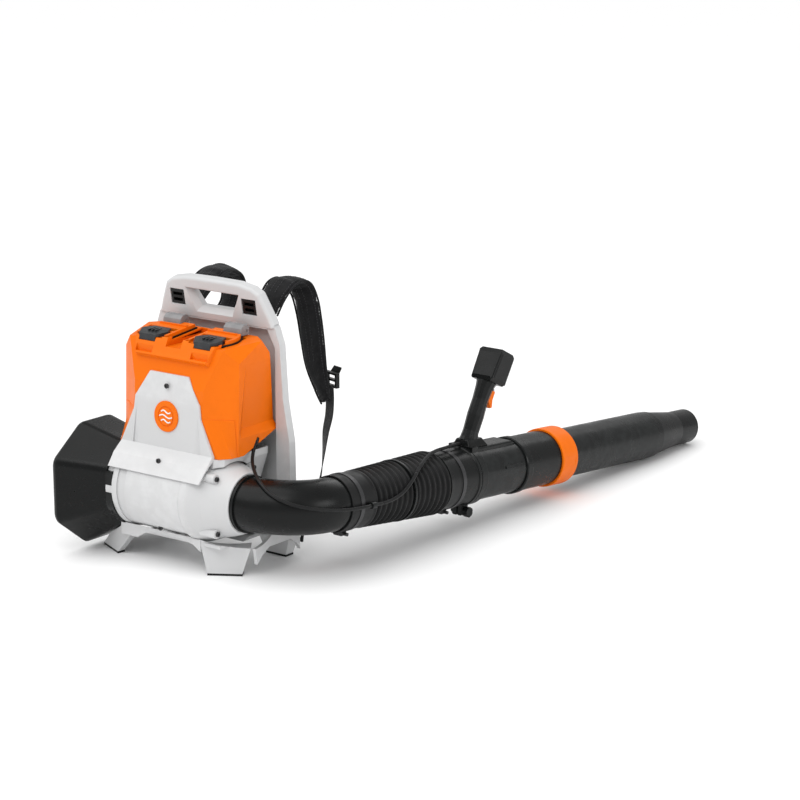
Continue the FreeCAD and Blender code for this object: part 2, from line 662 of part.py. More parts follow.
def motor_stator():
    ring_part = pipe(HUB_R - 1, 23, fan_point(-16), fan_point(28))
    for k in range(12):
        slot = box(-17, -2.2, 22, 29, 2.2, 28)
        slot.rotate(V(0, 0, 0), V(1, 0, 0), 30 * k)
        ring_part = ring_part.cut(slot.translated(fan_point(0)))
    return ring_part


def bearing(x):
    return pipe(13, SHAFT_R + RUNNING, fan_point(x), fan_point(x + 8))


def fan_shaft():
    """Motor shaft with the nut that holds the wheel."""
    shaft = rod(SHAFT_R, fan_point(FAN_X0 - 9), fan_point(MOTOR_X1 + 4))
    nut = Part.Face(hexagon(fan_point(FAN_X0 - 8.5), V(1, 0, 0), 8)).extrude(V(6.5, 0, 0))
    return shaft.fuse(nut)


add("fan_wheel", fan_wheel())
add("fan_shaft", fan_shaft())
add("motor_rotor", pipe(22, SHAFT_R, fan_point(-16), fan_point(28)))
add("motor_can", motor_can())
add("motor_stator", motor_stator())


def controller_box():
    """Finned speed controller under the battery wells."""
    body = box(-40, 79, 236, 40, 108, 360).common(hood_form(HOOD_WALL + 1, False))
    for k in range(8):
        body = body.cut(box(-34 + 9 * k, 70, 242, -30 + 9 * k, 86, 354))
    return body


add("controller_box", controller_box())

# ---- elbow, hose and tube -------------------------------------------------------------
def elbow():
    """Bent pipe from the funnel to the hose, with a straight stub at each end."""
    normal = V(1, 0, 0).cross(ALONG).normalize()
    centre = ELBOW_IN + normal.cross(V(1, 0, 0)) * ELBOW_R
    rim = Part.Wire(Part.makeCircle(PIPE_R, ELBOW_IN, V(1, 0, 0)))
    bore = Part.Wire(Part.makeCircle(PIPE_BORE, ELBOW_IN, V(1, 0, 0)))
    bend = Part.Face([rim, bore]).revolve(centre, normal, math.degrees(BEND))
    inlet = pipe(PIPE_R, PIPE_BORE, fan_point(142), ELBOW_IN)
    collar = turned([(0, PIPE_R - 1.5), (0, PIPE_R + 3.5), (7, PIPE_R + 3.5), (7, PIPE_R - 1.5)],
                    fan_point(OUTLET_X - 0.4), V(1, 0, 0))
    stub = ring(0, 70, PIPE_R, PIPE_BORE)
    return join([inlet.fuse(collar), bend, stub])


def bellows(start, end, cuff_start, cuff_end):
    """Ribbed hose half as one turned profile, wall about 2.5 mm."""
    pitch = (end - start) / RIBS_PER_HALF
    outside, inside = [], []
    for k in range(RIBS_PER_HALF):
        a = start + k * pitch
        crest = HOSE_R0 + (HOSE_R1 - HOSE_R0) * (a + pitch / 2 - HOSE_START) / (HOSE_END - HOSE_START)
        root = crest - 6
        outside += [(a, root), (a + pitch * 0.2, root), (a + pitch * 0.35, crest),
                    (a + pitch * 0.7, crest), (a + pitch * 0.85, root)]
        inside += [(a, root - 2.5), (a + pitch * 0.25, root - 2.5), (a + pitch * 0.4, crest - 3),
                   (a + pitch * 0.65, crest - 3), (a + pitch * 0.8, root - 2.5)]
    outside.append((end, outside[-1][1]))
    inside.append((end, inside[-1][1]))
    if cuff_start is not None:
        outside = [(cuff_start, PIPE_R + 3), (start - 6, PIPE_R + 3)] + outside
        inside = [(cuff_start, PIPE_R + GAP), (start - 6, PIPE_R + GAP)] + inside
    if cuff_end is not None:
        outside += [(cuff_end, outside[-1][1])]
        inside += [(cuff_end, inside[-1][1])]
    return spun(outside + inside[::-1])


def clamp_band(middle, radius, width):
    """Worm-drive band with its screw housing underneath."""
    band = pipe(radius + 1.2, radius + 0.05, V(0, middle - width / 2, 0), V(0, middle + width / 2, 0))
    house = box(-11, middle - 6, -radius - 9, 11, middle + 6, -radius - 0.6)
    house = round_edges(house, 3, lambda e: e.BoundBox.YLength > 10)
    worm = rod(3.2, V(11, middle, -radius - 5), V(19, middle, -radius - 5))
    return on_tube(join([band, house, worm]))


add("outlet_elbow", elbow())
add("hose_rear", bellows(HOSE_START, HOSE_MID - 3, 8.0, None))
add("hose_front", bellows(HOSE_MID + 3, HOSE_END, None, None))
add("hose_ring", ring(HOSE_MID - 2.7, HOSE_MID + 2.7, HOSE_R0 + 4.5, HOSE_R0 - 3))
add("rear_hose_clamp", clamp_band(36.0, PIPE_R + 3, 10.0))


def front_cuff():
    """Smooth cuff that joins the hose to the handle tube."""
    profile = [(HOSE_END + GAP, 50), (HOSE_END + GAP, 59), (300, 58), (320, 56.6),
               (CUFF_END - 8, 56.6), (CUFF_END - 6, 58.5), (CUFF_END, 58.5),
               (CUFF_END, HANDLE_TUBE_R + 0.05), (302, HANDLE_TUBE_R + 0.05), (302, 50)]
    return spun(profile)


MOUTH_LENGTH = 62.0            # straight part of the nozzle
RIB_A0 = 468.0                 # side ribs start beyond the handle's travel


def handle_tube():
    """Tube that carries the handle, with a flat guide rail on top."""
    start = 303.0
    tube = pipe(HANDLE_TUBE_R, HANDLE_TUBE_R - TUBE_WALL, V(0, start, 0), V(0, HANDLE_TUBE_END, 0))
    rail = box(-24, CUFF_END + 1, 40, 24, HANDLE_TUBE_END - 4, HANDLE_TUBE_R + 3)
    rail = round_edges(rail, 5, lambda e: abs(e.BoundBox.YLength) > 100 and e.BoundBox.ZMin > 45)
    rail = trim(rail, V(0, HANDLE_TUBE_END - 16, HANDLE_TUBE_R + 3), V(0, 0.5, 0.87))
    side_ribs = []
    for sign in (-1, 1):
        rib = box(-3, RIB_A0, HANDLE_TUBE_R - 2, 3, HANDLE_TUBE_END - 6, HANDLE_TUBE_R + 1.6)
        rib.rotate(V(0, 0, 0), V(0, 1, 0), sign * 75)
        side_ribs.append(rib)
    bore = rod(HANDLE_TUBE_R - TUBE_WALL, V(0, start - 1, 0), V(0, HANDLE_TUBE_END + 1, 0))
    return on_tube(join([tube, rail] + side_ribs).cut(bore))


def tube_collar():
    """Wider collar in which the front tube slides, with a slotted neck for the lock ring."""
    profile = [(HANDLE_TUBE_END + 0.1, FRONT_R + 0.6), (HANDLE_TUBE_END + 0.1, COLLAR_R + 1),
               (HANDLE_TUBE_END + 3, COLLAR_R + 2.5), (HANDLE_TUBE_END + 16, COLLAR_R + 2.5),
               (HANDLE_TUBE_END + 20, COLLAR_R),
               (COLLAR_END, COLLAR_R), (COLLAR_END, 53), (COLLAR_END + 34, 52.6),
               (COLLAR_END + 34, FRONT_R + 0.6)]
    collar = turned(profile, V(0, 0, 0), V(0, 1, 0))
    for k in range(6):
        slot = box(-1, COLLAR_END + 6, 40, 1, COLLAR_END + 40, 60)
        slot.rotate(V(0, 0, 0), V(0, 1, 0), 60 * k)
        collar = collar.cut(slot)
    return on_tube(collar)


def lock_ring():
    """Smooth twist ring with a shallow thumb flat on either side."""
    start = COLLAR_END + GAP
    profile = [(start, 53 + GAP), (start, LOCK_R - 1), (start + 3, LOCK_R), (LOCK_END - 6, LOCK_R),
               (LOCK_END, LOCK_R - 4), (LOCK_END, FRONT_R + 0.6), (COLLAR_END + 35, FRONT_R + 0.6),
               (COLLAR_END + 35, 53 + GAP)]
    body = turned(profile, V(0, 0, 0), V(0, 1, 0))
    for sign in (-1, 1):
        flat = box(LOCK_R - 0.8, start + 10, -16, LOCK_R + 5, LOCK_END - 12, 16)
        flat.rotate(V(0, 0, 0), V(0, 1, 0), 90 + sign * 90)
        body = body.cut(flat)
    return on_tube(body)


def front_tube():
    """Smooth tube that telescopes in the collar, with two key ribs."""
    start = COLLAR_END - 60
    tube = pipe(FRONT_R, FRONT_R - TUBE_WALL, V(0, start, 0), V(0, FRONT_END, 0))
    return on_tube(tube)


def nozzle():
    """Round nozzle: sleeve inside the front tube, long slim cone, straight mouth."""
    wall, sleeve = 2.0, FRONT_R - TUBE_WALL - 0.05
    outside = [(FRONT_END - 24, sleeve), (FRONT_END + 0.1, sleeve), (FRONT_END + 0.1, FRONT_R),
               (FRONT_END + 22, FRONT_R - 1.0), (FRONT_END + 24, FRONT_R - 2.6),
               (TIP - MOUTH_LENGTH - 0.5, NOZZLE_R + 0.8), (TIP - MOUTH_LENGTH, NOZZLE_R), (TIP, NOZZLE_R)]
    inside = [(TIP, NOZZLE_R - wall), (TIP - MOUTH_LENGTH, NOZZLE_R - wall),
              (FRONT_END + 24, FRONT_R - 5.6), (FRONT_END - 24, sleeve - wall)]
    return spun(outside + inside)


add("front_cuff", front_cuff())
add("front_hose_clamp", clamp_band(332.0, 56.6, 10.0))
add("handle_tube", handle_tube())
add("tube_collar", tube_collar())
add("lock_ring", lock_ring())
add("front_tube", front_tube())
add("nozzle", nozzle())

# ---- control handle, drawn in the tube's frame ----------------------------------------
BAND_A0, BAND_A1 = 386.0, 404.0
GRIP_LEAN = 23.0
GRIP_FOOT = V(0, 407, 62)
GRIP_LENGTH = 125.0
GRIP_SECTIONS = ((18, 25, 2, 3), (15.5, 20.5, 10, 1), (14, 18.5, 24, 0), (15.5, 19, 56, 0), (14.5, 18, 88, 0),
                 (16, 19.5, 112, 1), (19, 22, GRIP_LENGTH, 3))
TRIGGER_Y, TRIGGER_Z = 16.0, 114.0
THUMB_X, THUMB_Y, THUMB_Z = -24.0, 6.0, 149.0
KNOB_DROP = 15.5               # the clamp bolt runs this far under the tube


def on_grip(shape):
    """Carry a piece drawn along the grip (local Z up the grip) to its place."""
    placed = shape.copy()
    lean = FreeCAD.Placement(GRIP_FOOT, FreeCAD.Rotation(V(1, 0, 0), -GRIP_LEAN))
    placed.Placement = TUBE.multiply(lean.multiply(placed.Placement))
    return placed


def oval(x_half, y_half, z, y_shift):
    """Oval section of the grip as twelve corners."""
    points = []
    for k in range(12):
        turn = math.radians(30 * k + 15)
        points.append(V(x_half * math.cos(turn), y_shift + y_half * math.sin(turn), z))
    return points


def handle_base():
    """Split clamp ring on the tube with the socket of the grip."""
    inner = HANDLE_TUBE_R + GAP
    band = pipe(inner + 4.5, inner, V(0, BAND_A0, 0), V(0, BAND_A1, 0))
    slit = box(-2, BAND_A0 - 1, -90, 2, BAND_A1 + 1, -inner + 2)
    low = -inner - KNOB_DROP
    middle = (BAND_A0 + BAND_A1) / 2
    ears = box(-12, BAND_A0, low - 8, 12, BAND_A1, -inner - 1)
    ears = round_edges(ears, 4, lambda e: e.BoundBox.YLength > 10 and e.BoundBox.ZMax < low)
    bolt = rod(3 + RUNNING, V(-40, middle, low), V(40, middle, low))
    saddle = loft([[V(-22, BAND_A0, 57.2), V(22, BAND_A0, 57.2), V(22, 446, 57.2), V(-22, 446, 57.2)],
                   [V(-15, BAND_A0 + 4, 72), V(15, BAND_A0 + 4, 72), V(15, 434, 72), V(-15, 434, 72)]])
    saddle = round_edges(saddle, 4, lambda e: e.BoundBox.ZLength > 10 or e.BoundBox.ZMin > 70)
    rail_room = box(-25, 380, 40, 25, 540, HANDLE_TUBE_R + 3 + GAP)
    bridge = box(-29, BAND_A0, 42, 29, BAND_A1, 60).cut(rod(inner, V(0, 300, 0), V(0, 500, 0)))
    base = join([band, bridge, saddle, ears]).cut(rail_room).cut(slit).cut(bolt)
    grip = on_grip(loft([oval(x, y, z, shift) for x, y, z, shift in GRIP_SECTIONS]))
    return on_tube(base).cut(grip)


def grip_shell():
    """Hollow oval grip, cut away in front for the trigger."""
    outer = loft([oval(x, y, z, shift) for x, y, z, shift in GRIP_SECTIONS])
    inner = loft([oval(x - 2.5, y - 2.5, z, shift) for x, y, z, shift in
                  ((17, 23.5, 6, 2),) + GRIP_SECTIONS[2:6] + ((19, 22, GRIP_LENGTH - 3, 3),)])
    window = box(-8.5, 8, TRIGGER_Z - 35, 8.5, 40, TRIGGER_Z + 7)
    grip = on_grip(outer.cut(inner).cut(window)).cut(trigger_pin())
    return grip.cut(tube_room())


def tube_room():
    """Space the handle leaves free around the handle tube."""
    return on_tube(rod(HANDLE_TUBE_R + 5, V(0, 370, 0), V(0, 480, 0)))


def control_head():
    """Rounded head for the speed control, hollow, open downwards over the grip."""
    low, high = GRIP_LENGTH + GAP, GRIP_LENGTH + 66
    rows = ((low, 22, -18, 26), (low + 8, 27, -20, 33), (high - 10, 29, -16, 34), (high, 24, -10, 28))
    outer = loft([[V(-x, y0, z), V(x, y0, z), V(x, y1, z), V(-x, y1, z)] for z, x, y0, y1 in rows])
    outer = round_edges(outer, 8, lambda e: e.BoundBox.ZLength > 30)
    crest = box(-1.2, 33, low + 14, 1.2, 35.4, high - 14)
    inner = box(-18, -11, low + 3, 18, 24, high - 5)
    lever_room = box(-40, THUMB_Y - 7, THUMB_Z - 10.5, -16, THUMB_Y + 7, THUMB_Z + 12)
    head = outer.fuse(crest).cut(inner).cut(lever_room)
    return on_grip(head).cut(thumb_pin())


def trigger():
    """Finger trigger in the front of the grip."""
    side = ((12, 5), (22, 5), (31, -1), (30, -17), (35, -31), (30, -34), (20, -25), (10, -17))
    body = prism([V(-7.5, y, TRIGGER_Z + z) for y, z in side], V(15, 0, 0))
    body = round_edges(body, 2, lambda e: e.BoundBox.XLength < 1 and e.BoundBox.YMin > 21)
    return on_grip(body.cut(rod(2 + RUNNING, V(-20, TRIGGER_Y, TRIGGER_Z), V(20, TRIGGER_Y, TRIGGER_Z))))


def trigger_pin():
    return on_grip(rod(2, V(-14, TRIGGER_Y, TRIGGER_Z), V(14, TRIGGER_Y, TRIGGER_Z)))


def trigger_spring():
    """Return spring behind the trigger, as a coil of rings."""
    coils = [Part.makeTorus(3.4, 0.6, V(0, 1.4 + 1.9 * k, TRIGGER_Z - 13), V(0, 1, 0)) for k in range(5)]
    return on_grip(Part.makeCompound(coils))


def thumb_lever():
    """Speed lever on the thumb side of the head."""
    side = ((3, -6), (-8, -2), (-14, -6), (-12, -16), (-6, -20), (3, -18))
    body = prism([V(THUMB_X + x, THUMB_Y - 6, THUMB_Z + 12 + z) for x, z in side], V(0, 12, 0))
    bore = rod(2 + RUNNING, V(THUMB_X, THUMB_Y - 20, THUMB_Z), V(THUMB_X, THUMB_Y + 20, THUMB_Z))
    return on_grip(body.cut(bore))


def thumb_pin():
    return on_grip(rod(2, V(THUMB_X, THUMB_Y - 10, THUMB_Z), V(THUMB_X, THUMB_Y + 10, THUMB_Z)))


def switch_block():
    return on_grip(box(-6, -12, TRIGGER_Z - 17, 6, 0.4, TRIGGER_Z + 3))


def handle_knob():
    """Clamp knob beside the tube's underside, with its bolt."""
    middle = (BAND_A0 + BAND_A1) / 2
    low = -(HANDLE_TUBE_R + GAP) - KNOB_DROP
    stem = rod(3, V(-14, middle, low), V(16, middle, low))
    cap = rod(10, V(12.6, middle, low), V(24, middle, low))
    for k in range(6):
        turn = math.radians(60 * k)
        notch = V(0, middle + 11.5 * math.cos(turn), low + 11.5 * math.sin(turn))
        cap = cap.cut(rod(2.6, notch + V(10, 0, 0), notch + V(30, 0, 0)))
    nut = rod(6, V(-18, middle, low), V(-12.6, middle, low))
    return on_tube(join([stem, cap, nut]))


add("handle_base", handle_base())
add("grip_shell", grip_shell())
add("control_head", control_head())
add("trigger", trigger())
add("trigger_spring", trigger_spring())
add("thumb_lever", thumb_lever())
add("handle_pins", Part.makeCompound([trigger_pin(), thumb_pin()]))
add("switch_block", switch_block())
add("handle_knob", handle_knob())

# ---- carrier: back plate, stand, feet, buffers -----------------------------------------
PANEL_FRONT, PANEL_BACK = 119.0, 123.0


FRAME_FRONT = 101.0


def leaned(shape):
    """Lean the handle frame about its lower front edge."""
    turned_shape = shape.copy()
    turned_shape.rotate(V(0, FRAME_FRONT, FRAME_LOW), V(1, 0, 0), FRAME_LEAN)
    return turned_shape


def handle_frame():
    """Top frame with the carrying-handle opening and two strap pockets."""
    y = FRAME_FRONT
    half = [(0, FRAME_TOP), (64, FRAME_TOP - 1), (96, FRAME_TOP - 7), (112, 497), (128, 462),
            (143, 424), (151, FRAME_LOW - 22)]
    outline = [V(x, y, z) for x, z in half] + [V(-x, y, z) for x, z in half[:0:-1]]
    frame = prism(outline, V(0, 24, 0))
    opening = loft([[V(-66, y - 1, 493), V(66, y - 1, 493), V(44, y - 1, 446), V(-44, y - 1, 446)],
                    [V(-57, y + 12, 486), V(57, y + 12, 486), V(37, y + 12, 455), V(-37, y + 12, 455)]])
    through = prism([V(-57, y + 11, 486), V(57, y + 11, 486), V(37, y + 11, 455), V(-37, y + 11, 455)],
                    V(0, 20, 0))
    frame = round_edges(frame, 7, lambda e: e.BoundBox.YLength < 0.1 and e.BoundBox.ZMin > 450)
    frame = frame.cut(opening).cut(through)
    for sign in (-1, 1):
        pocket = box(sign * 86 - 17, y - 1, 456, sign * 86 + 17, y + 15, 486)
        frame = frame.cut(pocket)
    frame = frame.cut(box(-150, y + 4, FRAME_LOW - 30, 150, y + 30, FRAME_LOW + 4))
    return leaned(frame.cut(box(-200, y - 20, 400, 200, y + 60, FRAME_LOW)))


BEAM_IN = HOOD_HALF_WIDTH + 1.5


def side_beam(inset):
    """Right-hand beam of the carrier, as a solid pulled in by a wall."""
    outline = [(BEAM_IN - 24, 444), (BEAM_IN - 22, 449), (130, 446), (138.4, 437), (149.5, 406),
               (156, 305), (170, 228), (172, BASE_TOP + 1), (BEAM_IN, BASE_TOP + 1), (BEAM_IN, 400)]
    front = PLATE_FRONT
    if inset:
        outline = [(BEAM_IN + inset, 404), (146, 404), (156 - inset, 303), (170 - inset, 226),
                   (172 - inset, BASE_TOP + 1 + inset), (BEAM_IN + inset, BASE_TOP + 1 + inset)]
        front += inset
    return prism([V(x, front, z) for x, z in outline], V(0, PLATE_BACK - PLATE_FRONT, 0))


def back_plate():
    """One moulding: handle frame, centre panel and two hollow side beams."""
    beam = side_beam(0).cut(side_beam(PLATE_WALL))
    for k in range(4):
        rib = box(BEAM_IN, PLATE_FRONT + 2, 120 + 70 * k, 190, PLATE_BACK, 123 + 70 * k)
        beam = beam.fuse(rib.common(side_beam(0)))
    panel = box(-BEAM_IN - 2, PANEL_FRONT, BASE_TOP + 1, BEAM_IN + 2, PANEL_BACK, 436)
    slots = [box(-60, 100, 150 + 60 * k, 60, 160, 162 + 60 * k) for k in range(4)]
    for slot in slots:
        panel = panel.cut(slot)
    panel = panel.cut(box(-200, 100, 421, -136, 200, 500)).cut(box(136, 100, 421, 200, 200, 500))
    shelf = box(-120, PLATE_FRONT - 2, 433, 120, PANEL_BACK, 438)
    return join([pair(beam), panel, shelf, handle_frame()])


def leg(top, bottom):
    """Tapered leg between a top quad and a foot quad, given as (x, y) corners."""
    return loft([[V(x, y, BASE_TOP - 7) for x, y in top], [V(x, y, FOOT_HEIGHT) for x, y in bottom]])


RIGHT_FOOT = ((96, -44), (150, -10), (139, 8), (85, -26))
LEFT_FOOT = ((-124, -44), (-186, -16), (-180, -2), (-122, -28))
BACK_FOOT = ((140, 148), (92, 148), (92, 126), (140, 126))
BACK_LEFT_FOOT = ((-140, 148), (-92, 148), (-92, 126), (-140, 126))


def aprons():
    """Arched walls under the deck: one in front of the barrel, one on each side."""
    low, top = 22, BASE_TOP - 3
    front = prism([V(x, -50, z) for x, z in ((-108, top), (86, top), (86, 44), (68, 55), (40, 60),
                                             (-30, 60), (-50, 55), (-68, 44), (-108, 44))], V(0, 7, 0))
    side = [(-2, top), (128, top), (128, low), (118, 36), (100, 48), (40, 48), (20, 36), (6, low)]
    right = prism([V(166, y, z) for y, z in side], V(7, 0, 0))
    left = prism([V(-173, y, z) for y, z in side if y > 90] + [V(-173, 96, 48), V(-173, 96, top)],
                 V(7, 0, 0))
    return [front, right, left]


def stand_base():
    """Base moulding: deck, cross rails under the barrel, aprons and four splayed legs."""
    deck_top = [(-108, -46), (84, -50), (168, 2), (175, 100), (175, 132), (-175, 132), (-175, 100),
                (-150, 40), (-118, 0)]
    deck = prism([V(x, y, BASE_TOP - 9) for x, y in deck_top], V(0, 0, 9))
    room = rod(BARREL_R + 4 + GAP, fan_point(-300), fan_point(300)).fuse(lower_body(-GAP))
    room = room.fuse(shroud_form(-GAP - 1)).fuse(outlet_envelope())
    legs = [leg(((84, -50), (168, 2), (150, 24), (70, -26)), RIGHT_FOOT),
            leg(((-66, -46), (-118, -44), (-112, -10), (-70, -22)), LEFT_FOOT).cut(shroud_form(-2)),
            leg(((174, 132), (84, 132), (84, 100), (174, 100)), BACK_FOOT),
            leg(((-174, 132), (-84, 132), (-84, 100), (-174, 100)), BACK_LEFT_FOOT)]
    shelf = box(-112, -46, 55, 130, 112, 61.4)
    rails = [box(x, -24, 50, x + 14, 112, 60) for x in (-66, -10, 46)]
    base = join([deck, shelf] + rails + aprons())
    return join([base.cut(room)] + [one.cut(room) for one in legs])


def foot_pads():
    pads = []
    for corners in (RIGHT_FOOT, LEFT_FOOT, BACK_FOOT, BACK_LEFT_FOOT):
        pads.append(prism([V(x, y, 0) for x, y in corners], V(0, 0, FOOT_HEIGHT)))
    return Part.makeCompound(pads)


def buffers():
    """Four rubber buffers between the blower body and the carrier panel."""
    places = [(sx * 80, z) for sx in (-1, 1) for z in (110, 190)]
    return Part.makeCompound([rod(13, V(x, BODY_REAR, z), V(x, PANEL_FRONT, z)) for x, z in places])


add("back_plate", back_plate())
add("stand_base", stand_base())
add("foot_pads", foot_pads())
add("rubber_buffers", buffers())

# ---- harness ---------------------------------------------------------------------------
PAD_THICK = 11.0
WEB_THICK = 1.8


def band(stations, thick):
    """Flat band: stations give centre, half width along a direction, and the face normal."""
    rows = []
    for centre, half, across, out in stations:
        side, push = across * half, out * (thick / 2)
        rows.append([centre - side - push, centre + side - push, centre + side + push,
                     centre - side + push])
    solid = [loft([a, b]) for a, b in zip(rows, rows[1:])]
    return join(solid)


def band_stations(route):
    """Work out each station's normal from its neighbours on the route."""
    stations = []
    for k, (centre, half, across) in enumerate(route):
        before = route[max(k - 1, 0)][0]
        after = route[min(k + 1, len(route) - 1)][0]
        run = after.sub(before).normalize()
        side = V(*across)
        side = (side - run * side.dot(run)).normalize()
        stations.append((centre, half, side, side.cross(run).normalize()))
    return stations


STRAP_ROUTE = [
    (V(92, 140, 452), 24, (1, 0, 0)), (V(94, 151, 478), 29, (1, 0, 0)),
    (V(97, 171, 501), 31, (1, 0.05, 0)), (V(100, 196, 508), 31, (1, 0.1, 0)),
    (V(103, 216, 497), 31, (1, 0.1, 0)), (V(109, 228, 470), 31, (1, 0, 0)),
    (V(115, 232, 435), 32, (1, -0.1, 0)), (V(122, 232, 395), 32, (1, -0.15, 0)),
    (V(132, 229, 350), 30, (1, -0.2, 0)), (V(150, 222, 312), 22, (1, -0.25, 0)),
    (V(167, 213, 284), 13, (1, -0.3, 0))]
WEB_ROUTE = [
    (V(166, 227, 312), 12.5, (1, -0.3, 0)), (V(171, 222, 288), 12.5, (1, -0.3, 0)),
    (V(176, 213, 260), 12.5, (1, -0.35, 0)),
    (V(179, 199, 230), 12.5, (0.9, -0.45, 0)), (V(182, 188, 190), 12.5, (0.7, -0.7, 0)),
    (V(182, 178, 148), 12.5, (0.5, -0.85, 0)), (V(175, 168, 105), 12.5, (0.4, -0.9, 0)),
    (V(160, 160, 66), 12.5, (0.8, -0.5, 0)), (V(151, 154, 44), 10.0, (1, 0, 0))]


LEFT_BACK = 56.0               # the left strap has fallen further back at its top


def strap(fall):
    """Padded band: its top may have fallen further from the plate."""
    route = []
    for k, (centre, half, across) in enumerate(STRAP_ROUTE):
        share = math.sin(math.pi * min(k / 6.0, 1.0) * 0.5) * max(1 - max(k - 6, 0) / 2.0, 0.0)
        route.append((centre + V(0, fall * share, -0.2 * fall * share), half, across))
    return band(band_stations(route), PAD_THICK)


def webbing():
    return band(band_stations(WEB_ROUTE), WEB_THICK)


def back_pad():
    """Cushion between the carrier panel and the wearer's back."""
    pad = box(-112, PANEL_BACK + GAP, 120, 112, PANEL_BACK + 26, 420)
    return round_edges(pad, 10, lambda e: e.BoundBox.YMax > PANEL_BACK + 25 and e.BoundBox.YLength < 1)


def anchor_upper():
    """Ladder buckle in the strap pocket of the handle frame."""
    y = FRAME_FRONT
    plate = box(70.5, y + 1, 457.5, 101.5, y + 14.5, 484.5)
    for low in (462, 473):
        plate = plate.cut(box(75, y - 2, low, 97, y + 10, low + 6))
    return leaned(plate)


def adjuster():
    """Ladder adjuster where the pad meets the webbing."""
    frame = box(-18, -4, -14, 18, 4, 14).cut(box(-13.5, -5, -10, 13.5, 5, -2))
    frame = frame.cut(box(-13.5, -5, 2, 13.5, 5, 10))
    tab = prism([V(-14, 4, 8), V(14, 4, 8), V(12, 13, 20), V(-12, 13, 20)], V(0, 0, 3))
    shape = frame.fuse(tab)
    shape.Placement = FreeCAD.Placement(V(168, 233, 322), FreeCAD.Rotation(V(0, 0, 1), -17))
    return shape


def anchor_lower():
    """Lower strap loop on the rear leg of the stand."""
    plate = prism([V(132, 148, 60), V(166, 148, 58), V(161, 148, 27), V(138, 148, 31)], V(0, 4, 0))
    return plate.cut(box(142, 140, 35, 158, 160, 42))


add("shoulder_strap_right", strap(0.0))
add("shoulder_strap_left", flipped(strap(LEFT_BACK)))
add("strap_webbing", pair(webbing()))
add("back_pad", back_pad())
add("strap_anchors", Part.makeCompound([pair(anchor_upper()), pair(anchor_lower())]))
add("strap_adjusters", pair(adjuster()))

# ---- control cable ---------------------------------------------------------------------
# Cut into four pieces at the middles of three runs.
CABLE_CUTS = (10, 13, 16)      # the run after each of these points holds a joint between pieces


def cable_pieces():
    """Round cable along straight runs and tangent arcs, split into pieces."""
    pieces, edges = [], []
    start = CABLE_ROUTE[0]
    for k in range(1, len(CABLE_ROUTE) - 1):
        corner = CABLE_ROUTE[k]
        into = corner.sub(CABLE_ROUTE[k - 1])
        out = CABLE_ROUTE[k + 1].sub(corner)
        reach = 0.45 * min(into.Length, out.Length)
        first = corner - into.normalize() * reach
        last = corner + out.normalize() * reach
        turn = into.getAngle(out)
        radius = reach / math.tan(turn / 2)
        print("cable bend", k, "radius", round(radius, 1))
        inward = (out - into).normalize()
        middle = corner + inward * (radius / math.cos(turn / 2) - radius)
        edges.append(Part.makeLine(start, first))
        edges.append(Part.Arc(first, middle, last).toShape())
        start = last
        if k in CABLE_CUTS:
            cut = (corner + CABLE_ROUTE[k + 1]) * 0.5
            edges.append(Part.makeLine(start, cut))
            pieces.append(edges)
            edges, start = [], cut
    edges.append(Part.makeLine(start, CABLE_ROUTE[-1]))
    pieces.append(edges)
    solids = []
    for run in pieces:
        path = Part.Wire(run)
        head = run[0]
        begin = head.valueAt(head.FirstParameter)
        ring_wire = Part.Wire(Part.makeCircle(CABLE_R, begin, head.tangentAt(head.FirstParameter)))
        solids.append(path.makePipe(Part.Face(ring_wire)))
        area = math.pi * CABLE_R ** 2
        print("cable piece", round(path.Length, 1), "mm, volume ratio",
              round(solids[-1].Volume / (area * path.Length), 4))
    return solids


def cable_gland():
    """Rubber bush where the cable leaves the hood."""
    profile = [(9, CABLE_R - 0.5), (9, 5.0), (18, 5.6), (19, 6.4), (23, 6.4), (24.5, 4.6),
               (24.5, CABLE_R - 0.5)]
    return turned(profile, CABLE_ROUTE[0], CABLE_EXIT)


def cable_clip():
    """Clip on the hose cuff that holds the cable."""
    middle = TUBE.inverse().multVec(V(327, 152, 127))
    middle = V(middle.x, 55, middle.z)
    eye = pipe(CABLE_R + 2.6, CABLE_R + 0.6, middle - V(0, 6, 0), middle + V(0, 6, 0))
    arm = box(PIPE_R + 3.1, 49, middle.z - 4, middle.x - CABLE_R - 0.6, 61, middle.z + 4)
    return on_tube(eye.fuse(arm).cut(rod(CABLE_R + 0.6, middle - V(0, 9, 0), middle + V(0, 9, 0))))


rear_piece, *other_pieces = cable_pieces()
add("cable_rear", rear_piece.fuse(cable_gland()))
for piece_name, solid in zip(("cable_hose_rear", "cable_hose_front", "cable_handle"), other_pieces):
    add(piece_name, solid)
add("cable_clip", cable_clip())

# ---- fasteners -------------------------------------------------------------------------
funnel_screws = screws(
    [fan_point(BOSS_X, sy * BOSS_AT, sz * BOSS_AT) for sy in (-1, 1) for sz in (-1, 1)],
    4.6, 3.4, V(1, 0, 0))
add("housing_screws", Part.makeCompound([front_screws(), funnel_screws]))

os.makedirs("parts", exist_ok=True)
for name, shape in NODES.items():
    shape.exportStep("parts/" + name + ".step")
print(len(NODES), "nodes")
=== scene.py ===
import json
import math
import random

import bmesh
import bpy
from mathutils import Matrix, Vector
from mathutils.bvhtree import BVHTree


